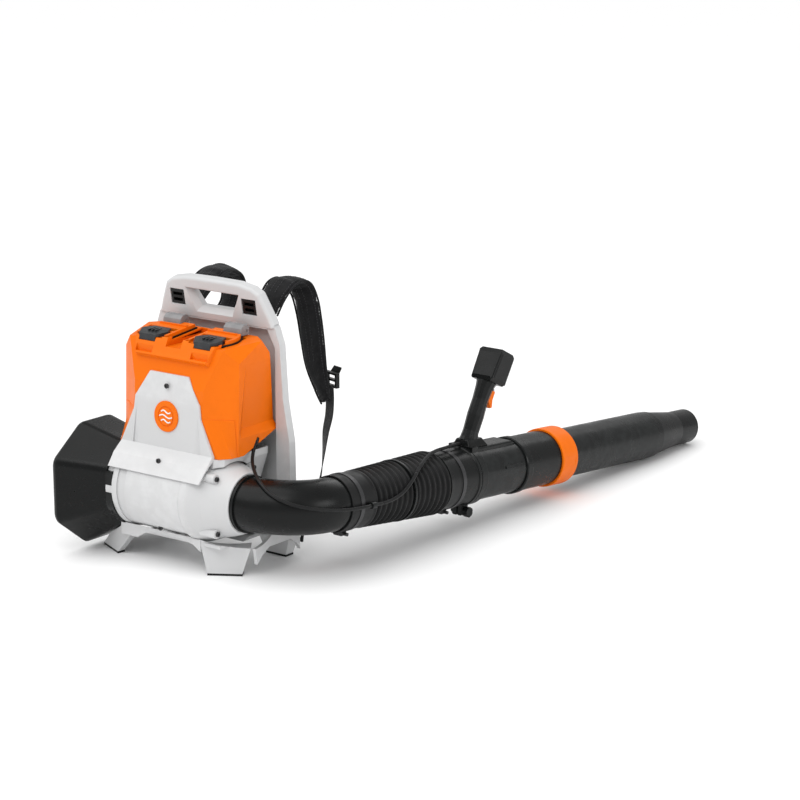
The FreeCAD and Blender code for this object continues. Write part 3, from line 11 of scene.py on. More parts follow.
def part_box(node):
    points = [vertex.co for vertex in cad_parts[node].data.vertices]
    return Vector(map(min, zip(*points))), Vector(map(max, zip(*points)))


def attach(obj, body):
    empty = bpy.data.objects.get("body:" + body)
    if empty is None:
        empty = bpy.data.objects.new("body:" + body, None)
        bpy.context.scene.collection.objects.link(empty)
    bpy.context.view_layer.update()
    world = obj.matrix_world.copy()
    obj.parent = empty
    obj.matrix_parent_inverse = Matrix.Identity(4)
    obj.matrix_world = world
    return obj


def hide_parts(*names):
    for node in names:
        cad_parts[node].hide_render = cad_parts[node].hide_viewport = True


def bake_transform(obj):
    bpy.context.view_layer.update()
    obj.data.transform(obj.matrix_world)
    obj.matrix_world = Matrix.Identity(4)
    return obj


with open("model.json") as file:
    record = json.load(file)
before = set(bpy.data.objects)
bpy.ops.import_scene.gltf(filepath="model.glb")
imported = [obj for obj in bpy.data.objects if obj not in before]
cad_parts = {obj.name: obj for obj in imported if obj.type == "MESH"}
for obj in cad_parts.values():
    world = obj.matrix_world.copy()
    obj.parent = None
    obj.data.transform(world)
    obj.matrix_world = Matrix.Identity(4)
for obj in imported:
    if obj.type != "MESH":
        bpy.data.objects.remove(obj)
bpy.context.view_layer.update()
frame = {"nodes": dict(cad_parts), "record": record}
nodes = frame["nodes"]

MM = 0.001

# ---------------------------------------------------------------- camera, floor and light

# The camera was solved from straight edges and circles in the photograph.
LENS_MM, SENSOR_MM = 106.4, 36
CAMERA_AT = (2.8106, -3.1026, 1.3353)
CAMERA_DOWN, CAMERA_TURN = 13.9, 36.7       # degrees
FLOOR_HALF = 60.0
LIT_MIDDLE = (0.08, 0.45, 0.2)
# Name, place, width and height in metres, and power in watts; all face the object's middle.
AREA_LIGHTS = (
    ("key", (1.6, -2.2, 3.4), (1.6, 1.6), 22),
    ("left_fill", (-3.2, -1.2, 2.0), (2.2, 1.6), 9),
    ("right_fill", (3.8, 0.6, 1.5), (1.8, 1.2), 26),
    ("back_rim", (-0.6, 3.6, 2.6), (2.6, 1.0), 16),
)


def set_camera():
    data = bpy.data.cameras.new("camera")
    data.lens = LENS_MM
    data.sensor_width = SENSOR_MM
    camera = bpy.data.objects.new("camera", data)
    camera.location = CAMERA_AT
    camera.rotation_euler = (math.radians(90 - CAMERA_DOWN), 0, math.radians(CAMERA_TURN))
    bpy.context.scene.collection.objects.link(camera)
    bpy.context.scene.camera = camera


def area_light(name, place, size, power):
    data = bpy.data.lights.new(name, "AREA")
    data.shape = "RECTANGLE"
    data.size, data.size_y = size
    data.energy = power
    light = bpy.data.objects.new(name, data)
    light.location = place
    aim = Vector(LIT_MIDDLE) - Vector(place)
    light.rotation_euler = aim.to_track_quat("-Z", "Y").to_euler()
    bpy.context.scene.collection.objects.link(light)


def set_stage():
    world = bpy.data.worlds.new("studio")
    bpy.context.scene.world = world
    world.use_nodes = True
    sky = world.node_tree.nodes["Background"]
    sky.inputs["Color"].default_value = (1, 1, 1, 1)
    sky.inputs["Strength"].default_value = 0.6
    sun = bpy.data.lights.new("soft_sun", "SUN")
    sun.energy, sun.angle = 1.7, math.radians(70)
    overhead = bpy.data.objects.new("soft_sun", sun)
    overhead.rotation_euler = (math.radians(24), math.radians(-14), 0)
    bpy.context.scene.collection.objects.link(overhead)
    for light in AREA_LIGHTS:
        area_light(*light)
    mesh = bpy.data.meshes.new("floor")
    corners = [(x * FLOOR_HALF, y * FLOOR_HALF, 0) for x, y in ((-1, -1), (1, -1), (1, 1), (-1, 1))]
    mesh.from_pydata(corners, [], [(0, 1, 2, 3)])
    floor = bpy.data.objects.new("floor", mesh)
    bpy.context.scene.collection.objects.link(floor)
    pale = bpy.data.materials.new("floor_pale")
    pale.use_nodes = True
    shader = pale.node_tree.nodes["Principled BSDF"]
    shader.inputs["Base Color"].default_value = (0.95, 0.95, 0.95, 1)
    shader.inputs["Roughness"].default_value = 0.75
    shader.inputs["Specular IOR Level"].default_value = 0.2
    mesh.materials.append(pale)
    bpy.context.scene.view_settings.view_transform = "Standard"


set_camera()
set_stage()

# ---------------------------------------------------------------- materials


class Shade:
    """A Principled material with helpers for its nodes."""

    def __init__(self, name):
        self.material = bpy.data.materials.new(name)
        self.material.use_nodes = True
        self.tree = self.material.node_tree
        self.shader = self.tree.nodes["Principled BSDF"]
        self.coords = self.add("ShaderNodeTexCoord").outputs["Object"]

    def add(self, kind, settings=None, links=None, **fields):
        made = self.tree.nodes.new(kind)
        for field, value in fields.items():
            setattr(made, field, value)
        for socket, value in (settings or {}).items():
            made.inputs[socket].default_value = value
        for socket, source in (links or {}).items():
            self.tree.links.new(source, made.inputs[socket])
        return made

    def noise(self, scale, detail=3.0, rough=0.55, vector=None):
        settings = {"Scale": scale, "Detail": detail, "Roughness": rough}
        links = {"Vector": vector or self.coords}
        return self.add("ShaderNodeTexNoise", settings, links).outputs["Fac"]

    def wave(self, scale, direction, vector=None, distortion=0.0):
        settings = {"Scale": scale, "Distortion": distortion}
        links = {"Vector": vector or self.coords}
        fields = {"wave_type": "BANDS", "bands_direction": direction}
        return self.add("ShaderNodeTexWave", settings, links, **fields).outputs["Fac"]

    def remap(self, source, low, high, to_low, to_high):
        settings = {"From Min": low, "From Max": high, "To Min": to_low, "To Max": to_high}
        return self.add("ShaderNodeMapRange", settings, {"Value": source}).outputs["Result"]

    def maths(self, operation, first, second):
        made = self.add("ShaderNodeMath", operation=operation)
        for index, value in enumerate((first, second)):
            if isinstance(value, (int, float)):
                made.inputs[index].default_value = value
            else:
                self.tree.links.new(value, made.inputs[index])
        return made.outputs[0]

    def blend(self, share, first, second):
        """Colour from first to second; each is a socket or three numbers."""
        made = self.add("ShaderNodeMix", data_type="RGBA")
        self.tree.links.new(share, made.inputs["Factor"])
        for socket, value in ((made.inputs[6], first), (made.inputs[7], second)):
            if isinstance(value, tuple):
                socket.default_value = (*value, 1)
            else:
                self.tree.links.new(value, socket)
        return made.outputs[2]

    def edges(self):
        """How sharply the surface turns outwards, 0 to 1."""
        point = self.add("ShaderNodeNewGeometry").outputs["Pointiness"]
        return self.remap(point, 0.52, 0.60, 0, 1)

    def bump(self, height, distance, strength=1.0, under=None):
        links = {"Height": height}
        if under:
            links["Normal"] = under
        settings = {"Distance": distance, "Strength": strength}
        return self.add("ShaderNodeBump", settings, links).outputs["Normal"]

    def rounded(self, radius):
        """A normal that rounds the corners by this radius."""
        return self.add("ShaderNodeBevel", {"Radius": radius}, samples=4).outputs["Normal"]

    def feed(self, socket, source):
        self.tree.links.new(source, self.shader.inputs[socket])

    def fix(self, **values):
        for socket, value in values.items():
            self.shader.inputs[socket.replace("_", " ")].default_value = value


def scaled(colour, factor):
    """The colour made darker or lighter."""
    return tuple(min(1.0, c * factor) for c in colour)


def plastic(name, colour, rough, grain, depth, wear, paler=1.5, spread=0.07, specular=0.5):
    """Moulded plastic: cloudy tint, fine grain, uneven gloss and rubbed edges.

    grain and depth: the skin's noise scale and height; wear: how far edges are rubbed; paler: how
    much lighter they are there; spread: how far the tint drifts.
    """
    s = Shade(name)
    tint = s.blend(s.noise(7, 4), scaled(colour, 1 - spread), scaled(colour, 1 + spread))
    flecks = s.remap(s.noise(420, 2), 0.62, 0.74, 0, 0.35)
    tint = s.blend(flecks, tint, scaled(colour, 1 - 2.2 * spread))
    rubbed = s.maths("MULTIPLY", s.edges(), s.remap(s.noise(55, 5), 0.4, 0.62, 0.15, wear))
    s.feed("Base Color", s.blend(rubbed, tint, scaled(colour, paler)))
    s.feed("Roughness", s.remap(s.noise(24, 6), 0.32, 0.68, rough - 0.07, rough + 0.08))
    s.feed("Normal", s.bump(s.noise(grain, 3), depth, 0.5, s.rounded(0.0007)))
    s.fix(Specular_IOR_Level=specular)
    return s.material


def rubber(name, colour, rough):
    """Matt rubber with dusty patches."""
    s = Shade(name)
    dusty = s.remap(s.noise(14, 6, 0.65), 0.35, 0.7, 0, 0.55)
    s.feed("Base Color", s.blend(dusty, colour, scaled(colour, 1.9)))
    s.feed("Roughness", s.remap(s.noise(60, 4), 0.3, 0.7, rough - 0.1, rough + 0.1))
    s.feed("Normal", s.bump(s.noise(1100, 3), 0.00015, 0.5))
    s.fix(Specular_IOR_Level=0.26)
    return s.material


def metal(name, colour, rough, along="X", blackened=False):
    """Turned or cast metal with fine lines along one axis."""
    s = Shade(name)
    stretch = {"X": (4, 900, 900), "Y": (900, 4, 900), "Z": (900, 900, 4)}[along]
    mapped = s.add("ShaderNodeMapping", {"Scale": stretch}, {"Vector": s.coords}).outputs[0]
    lines = s.noise(1.0, 3, 0.6, mapped)
    s.feed("Base Color", s.blend(lines, scaled(colour, 0.75), scaled(colour, 1.15)))
    s.feed("Roughness", s.remap(lines, 0.3, 0.7, rough - 0.08, rough + 0.12))
    s.feed("Normal", s.bump(lines, 0.00005, 0.4, s.rounded(0.0004)))
    s.fix(Metallic=0.6 if blackened else 1.0)
    return s.material


def copper_and_sheets(name):
    """Enamelled windings between stacked steel sheets."""
    s = Shade(name)
    sheets = s.wave(320, "X")
    turns = s.wave(190, "Y", distortion=1.5)
    between = s.remap(turns, 0.4, 0.6, 0, 1)
    s.feed("Base Color", s.blend(between, (0.50, 0.20, 0.07), (0.22, 0.2, 0.2)))
    s.feed("Roughness", s.remap(sheets, 0, 1, 0.28, 0.5))
    s.feed("Normal", s.bump(sheets, 0.0003, 0.6))
    s.fix(Metallic=0.85)
    return s.material


def woven(name, colour, pitch, rough, sheen):
    """Nylon cloth: threads along three axes, so that they show on any face, with dusty patches."""
    s = Shade(name)
    scale = 1 / (pitch * 6.283 / 2)             # a wave texture's own unit is near pi bands
    rows = [s.wave(scale, d, distortion=0.4) for d in "XYZ"]
    weave = s.maths("ADD", s.maths("MULTIPLY", rows[0], rows[1]), rows[2])
    tint = s.blend(s.remap(weave, 0.2, 1.4, 0, 1), scaled(colour, 0.55), scaled(colour, 1.35))
    dusty = s.remap(s.noise(18, 6, 0.7), 0.45, 0.75, 0, 0.5)
    s.feed("Base Color", s.blend(dusty, tint, scaled(colour, 2.1)))
    s.feed("Roughness", s.remap(s.noise(90, 4), 0.3, 0.7, rough - 0.12, rough + 0.08))
    s.feed("Normal", s.bump(weave, 0.0003, 0.6, s.bump(s.noise(160, 5, 0.65), 0.0009, 0.35)))
    s.fix(Sheen_Weight=sheen, Sheen_Roughness=0.45, Specular_IOR_Level=0.25)
    return s.material


def ribbed_web(name, colour):
    """Flat webbing: its threads follow the band's own UV map."""
    s = Shade(name)
    uv = s.add("ShaderNodeTexCoord").outputs["UV"]
    lengthwise = s.wave(4.6, "X", uv)
    picks = s.wave(190, "Y", uv, 0.3)
    weave = s.maths("MULTIPLY", lengthwise, picks)
    tint = s.blend(weave, scaled(colour, 0.5), scaled(colour, 1.6))
    worn = s.remap(s.noise(30, 5, 0.7), 0.5, 0.75, 0, 0.4)
    s.feed("Base Color", s.blend(worn, tint, scaled(colour, 2.4)))
    s.feed("Roughness", s.remap(s.noise(120, 3), 0.3, 0.7, 0.5, 0.72))
    s.feed("Normal", s.bump(weave, 0.0004, 0.8))
    s.fix(Sheen_Weight=0.12, Sheen_Roughness=0.4, Specular_IOR_Level=0.3)
    return s.material


GREY, ORANGE = (0.575, 0.578, 0.582), (0.81, 0.152, 0.0015)
BLACK, DARK = (0.0045, 0.0050, 0.0050), (0.016, 0.018, 0.020)
MID_GREY, CASE = (0.21, 0.21, 0.214), (0.016, 0.016, 0.018)
finishes = {
    "light_grey_plastic": plastic(
        "grey_moulding", GREY, 0.42, grain=620, depth=0.00014, wear=0.5, paler=1.18, spread=0.03),
    "orange_plastic": plastic(
        "orange_moulding", ORANGE, 0.38, grain=900, depth=0.00007, wear=0.5, paler=1.22,
        spread=0.06, specular=0.14),
    "black_plastic": plastic(
        "black_moulding", BLACK, 0.29, grain=760, depth=0.00013, wear=0.5, paler=5.0,
        spread=0.14, specular=0.19),
    "mid_grey_plastic": plastic(
        "mid_grey_moulding", MID_GREY, 0.40, grain=700, depth=0.00012, wear=0.5, specular=0.35),
    "dark_grey_plastic": plastic(
        "dark_grey_moulding", DARK, 0.36, grain=700, depth=0.00010, wear=0.6, paler=3.0,
        spread=0.12, specular=0.32),
    "battery_plastic": plastic(
        "battery_case", CASE, 0.5, grain=520, depth=0.0002, wear=0.4, paler=2.5, spread=0.1,
        specular=0.35),
    "black_rubber": rubber("black_rubber", (0.0042, 0.0044, 0.0046), 0.44),
    "steel": metal("turned_steel", (0.62, 0.62, 0.63), 0.28),
    "black_steel": metal("blackened_steel", (0.05, 0.05, 0.052), 0.36, "Y", True),
    "rotor_steel": metal("rotor_steel", (0.45, 0.45, 0.46), 0.34),
    "heat_sink": metal("cast_aluminium", (0.55, 0.56, 0.57), 0.42, "Z"),
    "copper_laminations": copper_and_sheets("windings"),
    "padded_fabric": woven(
        "padded_nylon", (0.0075, 0.0075, 0.0082), pitch=0.0011, rough=0.85, sheen=0.08),
    "webbing": ribbed_web("black_webbing", (0.009, 0.009, 0.0098)),
}
thread = plastic("sewing_thread", (0.05, 0.05, 0.054), 0.6, grain=2500, depth=0.00005, wear=0.1)
emblem_white = plastic(
    "emblem_white", (0.80, 0.80, 0.80), 0.35, grain=900, depth=0.00005, wear=0.2, paler=1.1,
    spread=0.02)

for part in frame["record"]["subparts"]:
    node = nodes[part["node"]]
    node.data.materials.clear()
    node.data.materials.append(finishes[part["material_slot"]])

# ---------------------------------------------------------------- mesh helpers


def make(name, points, faces, slot, uv=None):
    """A mesh object from points in metres, with the finish that its slot names."""
    mesh = bpy.data.meshes.new(name)
    mesh.from_pydata([tuple(p) for p in points], [], faces)
    bm = bmesh.new()
    bm.from_mesh(mesh)
    bmesh.ops.recalc_face_normals(bm, faces=bm.faces)
    bm.to_mesh(mesh)
    bm.free()
    if uv:
        layer = mesh.uv_layers.new(name="weave")
        for loop in mesh.loops:
            layer.data[loop.index].uv = uv[loop.vertex_index]
    mesh.polygons.foreach_set("use_smooth", [True] * len(mesh.polygons))
    piece = bpy.data.objects.new(name, mesh)
    bpy.context.scene.collection.objects.link(piece)
    mesh.materials.append(finishes[slot])
    return piece


def ring_faces(count, sides, closed=False):
    """Quads between count rings of sides points each; capped, or closed end to end."""
    faces = []
    for k in range(count if closed else count - 1):
        a, b = k * sides, ((k + 1) % count) * sides
        for i in range(sides):
            j = (i + 1) % sides
            faces.append((a + i, a + j, b + j, b + i))
    if not closed:
        faces.append(tuple(range(sides)))
        faces.append(tuple(range((count - 1) * sides, count * sides)))
    return faces


def spline(values, share):
    """A smooth value through the listed ones (numbers or vectors), at share 0 to 1."""
    place = share * (len(values) - 1)
    k = min(int(place), len(values) - 2)
    t = place - k
    p = [values[max(0, min(len(values) - 1, k + d))] for d in (-1, 0, 1, 2)]
    return 0.5 * (
        2 * p[1] + (p[2] - p[0]) * t + (2 * p[0] - 5 * p[1] + 4 * p[2] - p[3]) * t * t
        + (3 * p[1] - p[0] - 3 * p[2] + p[3]) * t ** 3
    )


def path_frames(points):
    """(tangent, one normal, other normal) at each point, turning as little as possible."""
    frames, normal = [], None
    for k, _ in enumerate(points):
        tangent = (points[min(k + 1, len(points) - 1)] - points[max(k - 1, 0)]).normalized()
        if normal is None:
            normal = tangent.orthogonal().normalized()
        normal = (normal - tangent * normal.dot(tangent)).normalized()
        frames.append((tangent, normal, tangent.cross(normal)))
    return frames


def tube_mesh(name, points, radius, slot, sides=14):
    """A round cord along the points."""
    rings = []
    for p, (_, n, b) in zip(points, path_frames(points)):
        for i in range(sides):
            angle = 2 * math.pi * i / sides
            rings.append(p + (n * math.cos(angle) + b * math.sin(angle)) * radius)
    return make(name, rings, ring_faces(len(points), sides), slot)


def joined(name, pieces):
    """One piece from several meshes of the same finish."""
    bm = bmesh.new()
    for piece in pieces:
        bm.from_mesh(piece.data)
    mesh = pieces[0].data
    bm.to_mesh(mesh)
    bm.free()
    for piece in pieces[1:]:
        bpy.data.objects.remove(piece)
    pieces[0].name = name
    return pieces[0]


# ---------------------------------------------------------------- blowing tube frame

ELBOW_OUT = Vector((263.906, 97.288, 129.301)) * MM
ALONG = Vector((0.04244597, 0.99610851, -0.07724107)).normalized()
SIDE = ALONG.cross(Vector((0, 0, 1))).normalized()
UP = SIDE.cross(ALONG)


def tube_point(a, side=0.0, up=0.0):
    """Millimetres along, beside and above the blowing tube's axis to a point in metres."""
    return ELBOW_OUT + (ALONG * a + SIDE * side + UP * up) * MM


def revolved(name, profile, slot, sides):
    """A closed ring about the blowing tube's axis from (along, radius) pairs in millimetres."""
    points = []
    for a, r in profile:
        for i in range(sides):
            angle = 2 * math.pi * i / sides
            points.append(tube_point(a, r * math.cos(angle), r * math.sin(angle)))
    return make(name, points, ring_faces(len(profile), sides, closed=True), slot)


# ---------------------------------------------------------------- bellows hose

# Millimetres along the blowing tube; the rigid ring sits between the hose's two halves.
RIB_START, RIB_END = 80, 289
RING_REAR, RING_FRONT = 181, 187
CREST_REAR, CREST_FRONT = 54, 62        # the crests' radius, at the first and the last rib
RIBS = 7                                # in each half
WALL = 2.5
# One rib: share of its pitch, and drop below the crest in millimetres.
RIB_LINE = (
    (0.03, 7.0), (0.15, 6.6), (0.25, 4.6), (0.31, 2.0), (0.38, 0.4), (0.47, 0.0),
    (0.56, 0.4), (0.63, 2.0), (0.69, 4.6), (0.79, 6.6), (0.91, 7.0),
)


def crest(a):
    """Radius of the crests at this distance along the tube."""
    return CREST_REAR + (CREST_FRONT - CREST_REAR) * (a - RIB_START) / (RIB_END - RIB_START)


def ribs(start, end):
    """Outer line of the ribs: narrow rounded crests over wider grooves."""
    pitch = (end - start) / RIBS
    line = []
    for k in range(RIBS):
        first = start + k * pitch
        top = crest(first + pitch / 2)
        for share, drop in RIB_LINE:
            line.append((first + share * pitch, top - drop))
    return line


def bellows(name, start, end, before, after):
    """Ribbed hose from start to end, with plain stretches before and after."""
    outer = before + ribs(start, end) + after
    inner = [(a, r - WALL) for a, r in reversed(outer)]
    return revolved(name, outer + inner, "black_rubber", sides=112)


# The plain sleeve over the elbow's outlet, with a bead before the first rib.
REAR_CUFF = [
    (8.2, 51.9), (8.6, 52.4), (10, 52.5), (40, 52.5), (66, 52.5), (70, 52.9), (72, 53.6),
    (74, 53.9), (76, 53.6), (78, 51.0), (80, 49.0),
]
hose_rear = bellows("bellows_rear", RIB_START, RING_REAR, REAR_CUFF, [(RING_REAR + 0.2, 52.6)])
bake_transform(hose_rear)
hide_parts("hose_rear")
hose_front = bellows(
    "bellows_front", RING_FRONT, RIB_END, [(RING_FRONT - 0.2, 53.0)], [(RIB_END, 56.4)])
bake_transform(hose_front)
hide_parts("hose_front")

# ---------------------------------------------------------------- control cable

CABLE_ROUTE = [
    (130, 60, 250), (134.5, 44, 219), (146, 27, 207.5), (166, 7, 200), (198, -17, 188),
    (235.3, -27.9, 169.8), (272.8, -8.9, 153.3), (303.2, 30, 142), (319.5, 75, 134),
    (326, 115, 130), (327, 152, 127), (330, 190, 124), (331.5, 232, 130), (327, 270, 147),
    (314, 308, 162),
    (302, 348, 171), (292, 386, 172), (286, 424, 168), (281.5, 454, 165.5), (281.5, 484, 164),
]
CABLE_RADIUS = 0.0032
CABLE_CUTS = (0.171, 0.289, 0.405)      # where one piece ends and the next begins, by y in metres


def cable_line():
    """Points along the smooth line that the route's control points guide."""
    data = bpy.data.curves.new("cable_route", "CURVE")
    data.dimensions = "3D"
    data.resolution_u = 12
    line = data.splines.new("NURBS")
    line.points.add(len(CABLE_ROUTE) - 1)
    for point, place in zip(line.points, CABLE_ROUTE):
        point.co = (*(c * MM for c in place), 1)
    line.order_u = 3
    line.use_endpoint_u = True
    holder = bpy.data.objects.new("cable_route", data)
    bpy.context.scene.collection.objects.link(holder)
    bpy.context.view_layer.update()
    mesh = bpy.data.meshes.new_from_object(holder)
    points = [v.co.copy() for v in mesh.vertices]
    bpy.data.objects.remove(holder)
    bpy.data.meshes.remove(mesh)
    return points


def cable_pieces():
    """The cable's four stretches, cut where the joints between the bodies are."""
    line = cable_line()
    cuts = [next(k for k, p in enumerate(line) if p.y > cut) for cut in CABLE_CUTS]
    spans = zip([0, *cuts], [*cuts, len(line) - 1])
    names = ("cable_rear", "cable_hose_rear", "cable_hose_front", "cable_handle")
    made = []
    for name, (first, last) in zip(names, spans):
        piece = tube_mesh(name + "_sheath", line[first:last + 1], CABLE_RADIUS, "black_rubber")
        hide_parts(name)
        made.append(piece)
    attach(made[0], "pack")
    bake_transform(made[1])
    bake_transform(made[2])
    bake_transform(made[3])


cable_pieces()

# ---------------------------------------------------------------- harness

# Each point of a strap: x, y, z of its middle, half its width, and the direction across it.
STRAP_ROUTE = [
    (92, 140, 452, 24, (1, 0, 0)), (94, 151, 478, 29, (1, 0, 0)),
    (97, 171, 501, 31, (1, 0.05, 0)), (100, 196, 508, 31, (1, 0.1, 0)),
    (103, 216, 497, 31, (1, 0.1, 0)), (109, 228, 470, 31, (1, 0, 0)),
    (115, 232, 435, 32, (1, -0.1, 0)), (122, 232, 395, 32, (1, -0.15, 0)),
    (132, 229, 350, 30, (1, -0.2, 0)), (150, 222, 312, 22, (1, -0.25, 0)),
    (167, 213, 284, 13, (1, -0.3, 0)),
]
PAD_THICK = 11
PAD_EDGE = 1.1                  # half the pad's thickness at its bound edges
FOLD_DEPTH = 0.4
# Wave numbers of the folds along the pad, and how far each fold leans across it.
FOLD_WAVES = ((95, 1.2), (61, -0.8), (143, 0.5), (38, 1.6), (118, -1.4), (77, 0.3))
INSET = 0.985                   # the cloth's edge stands this far inside the CAD band's edge
LEFT_BACK = 56                  # how far the left strap has fallen back, in millimetres
WEB_ROUTE = [
    (166, 227, 312, 12.5, (1, -0.3, 0)), (171, 222, 288, 12.5, (1, -0.3, 0)),
    (176, 213, 260, 12.5, (1, -0.35, 0)), (179, 199, 230, 12.5, (0.9, -0.45, 0)),
    (182, 188, 190, 12.5, (0.7, -0.7, 0)), (182, 178, 148, 12.5, (0.5, -0.85, 0)),
    (175, 168, 105, 12.5, (0.4, -0.9, 0)), (160, 160, 66, 12.5, (0.8, -0.5, 0)),
    (151, 154, 44, 10, (1, 0, 0)),
]
WEB_THICK = 1.8


def fallen(route, fall):
    """The route with its upper half moved back and down, as a strap that lies over does."""
    moved = []
    for k, (x, y, z, half, across) in enumerate(route):
        share = math.sin(math.pi * min(k / 6, 1) / 2) * max(1 - max(k - 6, 0) / 2, 0)
        moved.append((x, y + fall * share, z - 0.2 * fall * share, half, across))
    return moved


def stations(route, count):
    """(centre, tangent, across, outward, half width) in metres along a smooth band."""
    centres = [Vector(r[:3]) for r in route]
    halves = [r[3] for r in route]
    crosses = [Vector(r[4]) for r in route]
    shares = [k / (count - 1) for k in range(count)]
    places = [spline(centres, s) * MM for s in shares]
    made = []
    for k, share in enumerate(shares):
        tangent = (places[min(k + 1, count - 1)] - places[max(k - 1, 0)]).normalized()
        across = spline(crosses, share)
        across = (across - tangent * across.dot(tangent)).normalized()
        made.append((places[k], tangent, across, tangent.cross(across), spline(halves, share) * MM))
    return made


def mirrored(piece):
    """The piece turned into its own mirror image across x = 0."""
    piece.data.transform(Matrix.Scale(-1, 4, (1, 0, 0)))
    piece.data.flip_normals()
    return piece


def strap_body(name, line, seed):
    """The padded band: crowned on both faces, thin at its bound edges, puckered at its bend."""
    draws = random.Random(seed)
    waves = [(number, draws.uniform(0, 2 * math.pi), lean) for number, lean in FOLD_WAVES]
    sides, count = 40, len(line)
    points = []
    for k, (centre, _, across, outward, half) in enumerate(line):
        share = k / (count - 1)
        bunched = math.exp(-((share - 0.27) / 0.16) ** 2)
        for i in range(sides):
            angle = 2 * math.pi * i / sides
            u = math.cos(angle)
            level = math.sin(angle)
            crown = (1 - abs(u) ** 3.2) ** 0.8
            thick = PAD_EDGE + (PAD_THICK / 2 - PAD_EDGE) * crown
            folds = sum(math.sin(share * f + phase + u * lean) for f, phase, lean in waves)
            lift = folds * FOLD_DEPTH * crown * (0.25 + 2.0 * bunched)
            height = math.copysign(thick, level) + lift if abs(level) > 1e-6 else 0
            points.append(centre + across * (half * u * INSET) + outward * height * MM)
    return make(name, points, ring_faces(count, sides), "padded_fabric")


CLOTH_FRAMES = 20


def swell(piece, cap, voxel, pressure):
    """Fills a pad by a short cloth run on a voxel grid; no point moves further than cap."""
    start = piece.data.copy()
    remesh = piece.modifiers.new("remesh", "REMESH")
    remesh.mode = "VOXEL"
    remesh.voxel_size = voxel
    bpy.context.view_layer.update()
    found = piece.evaluated_get(bpy.context.evaluated_depsgraph_get())
    grid = bpy.data.meshes.new_from_object(found)
    piece.modifiers.clear()
    piece.data = grid
    rest = [v.co.copy() for v in grid.vertices]
    cloth = piece.modifiers.new("cloth", "CLOTH")
    cloth.settings.use_pressure = True
    cloth.settings.uniform_pressure_force = pressure
    cloth.settings.effector_weights.gravity = 0
    cloth.settings.quality = 5
    cloth.collision_settings.use_collision = False
    for number in range(1, CLOTH_FRAMES + 1):
        bpy.context.scene.frame_set(number)
    found = piece.evaluated_get(bpy.context.evaluated_depsgraph_get())
    moved = bpy.data.meshes.new_from_object(found)
    piece.modifiers.clear()
    piece.data = moved
    for vertex, place in zip(moved.vertices, rest):
        step = vertex.co - place
        if step.length > cap:
            vertex.co = place + step.normalized() * cap
    finer = piece.modifiers.new("finer", "SUBSURF")
    finer.levels = finer.render_levels = 1
    found = piece.evaluated_get(bpy.context.evaluated_depsgraph_get())
    smooth = bpy.data.meshes.new_from_object(found)
    piece.modifiers.clear()
    smooth.materials.clear()
    for material in start.materials:
        smooth.materials.append(material)
    smooth.polygons.foreach_set("use_smooth", [True] * len(smooth.polygons))
    piece.data = smooth
    bpy.context.scene.frame_set(1)


def surface_of(piece):
    """A tree of the piece's faces, for dropping points onto them."""
    places = [v.co for v in piece.data.vertices]
    return BVHTree.FromPolygons(places, [tuple(p.vertices) for p in piece.data.polygons])


STITCH_LENGTH, STITCH_GAP, STITCH_RADIUS = 0.0031, 0.0019, 0.00042


def walk(places, k, distance):
    """The index reached from k after at least this distance, and the distance walked."""
    walked = 0.0
    while k < len(places) - 1 and walked < distance:
        walked += (places[k + 1] - places[k]).length
        k += 1
    return k, walked


def stitch_row(places):
    """Small raised thread lengths along the places, as one mesh's points and faces."""
    points, faces = [], []
    k = 0
    while k < len(places) - 1:
        start = places[k]
        k, walked = walk(places, k, STITCH_LENGTH)
        if walked < STITCH_LENGTH * 0.8:
            break
        end = places[k]
        _, normal, side = path_frames([start, end])[0]
        base = len(points)
        for share, size in ((0, 0.35), (0.2, 1), (0.8, 1), (1, 0.35)):
            middle = start.lerp(end, share)
            for i in range(6):
                angle = math.pi * i / 3
                spoke = normal * math.cos(angle) + side * math.sin(angle)
                points.append(middle + spoke * STITCH_RADIUS * size)
        faces += [tuple(base + v for v in face) for face in ring_faces(4, 6)]
        k, _ = walk(places, k, STITCH_GAP)
    return points, faces


def stitching(name, rows, body):
    """All the stitch rows of one piece, riding on a body."""
    points, faces = [], []
    for row in rows:
        new_points, new_faces = stitch_row(row)
        faces += [tuple(v + len(points) for v in face) for face in new_faces]
        points += new_points
    piece = make(name, points, faces, "padded_fabric")
    piece.data.materials[0] = thread
    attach(piece, body)
    return piece


def on_surface(tree, place, outward, lift=0.0002):
    """The place dropped onto a surface from outside, or left where it is."""
    hit, _, _, _ = tree.ray_cast(place + outward * 0.03, -outward, 0.05)
    return (hit if hit else place) + outward * lift


def shoulder_strap(side):
    """Padded band with stitch rows on both faces and a piped binding along its edges."""
    right = side == "right"
    route = STRAP_ROUTE if right else fallen(STRAP_ROUTE, LEFT_BACK)
    line = stations(route, 150)
    dense = stations(route, 900)
    body = strap_body("shoulder_pad_" + side, line, 3 if right else 11)
    swell(body, cap=0.0022, voxel=0.0036, pressure=3.0)
    tree = surface_of(body)
    rows = []
    for share in (-0.78, 0.78, -0.2, 0.2):              # of the half width
        for face_sign in (1, -1):
            places = []
            for centre, _, across, outward, half in dense[20:-24]:      # short of both ends
                if half * abs(share) < 0.006:           # too narrow there for this row
                    continue
                places.append(on_surface(tree, centre + across * half * share, outward * face_sign))
            rows.append(places)
    seams = stitching("shoulder_stitching_" + side, rows, "pack")
    binding = []
    for sign in (-1, 1):
        edge = [c + a * h * sign * INSET for c, _, a, _, h in line]
        binding.append(tube_mesh("edge", edge, 0.0019, "padded_fabric", 10))
    piping = joined("shoulder_binding_" + side, binding)
    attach(piping, "pack")
    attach(body, "pack")
    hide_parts("shoulder_strap_" + side)
    if not right:
        for piece in (body, seams, piping):
            mirrored(piece)


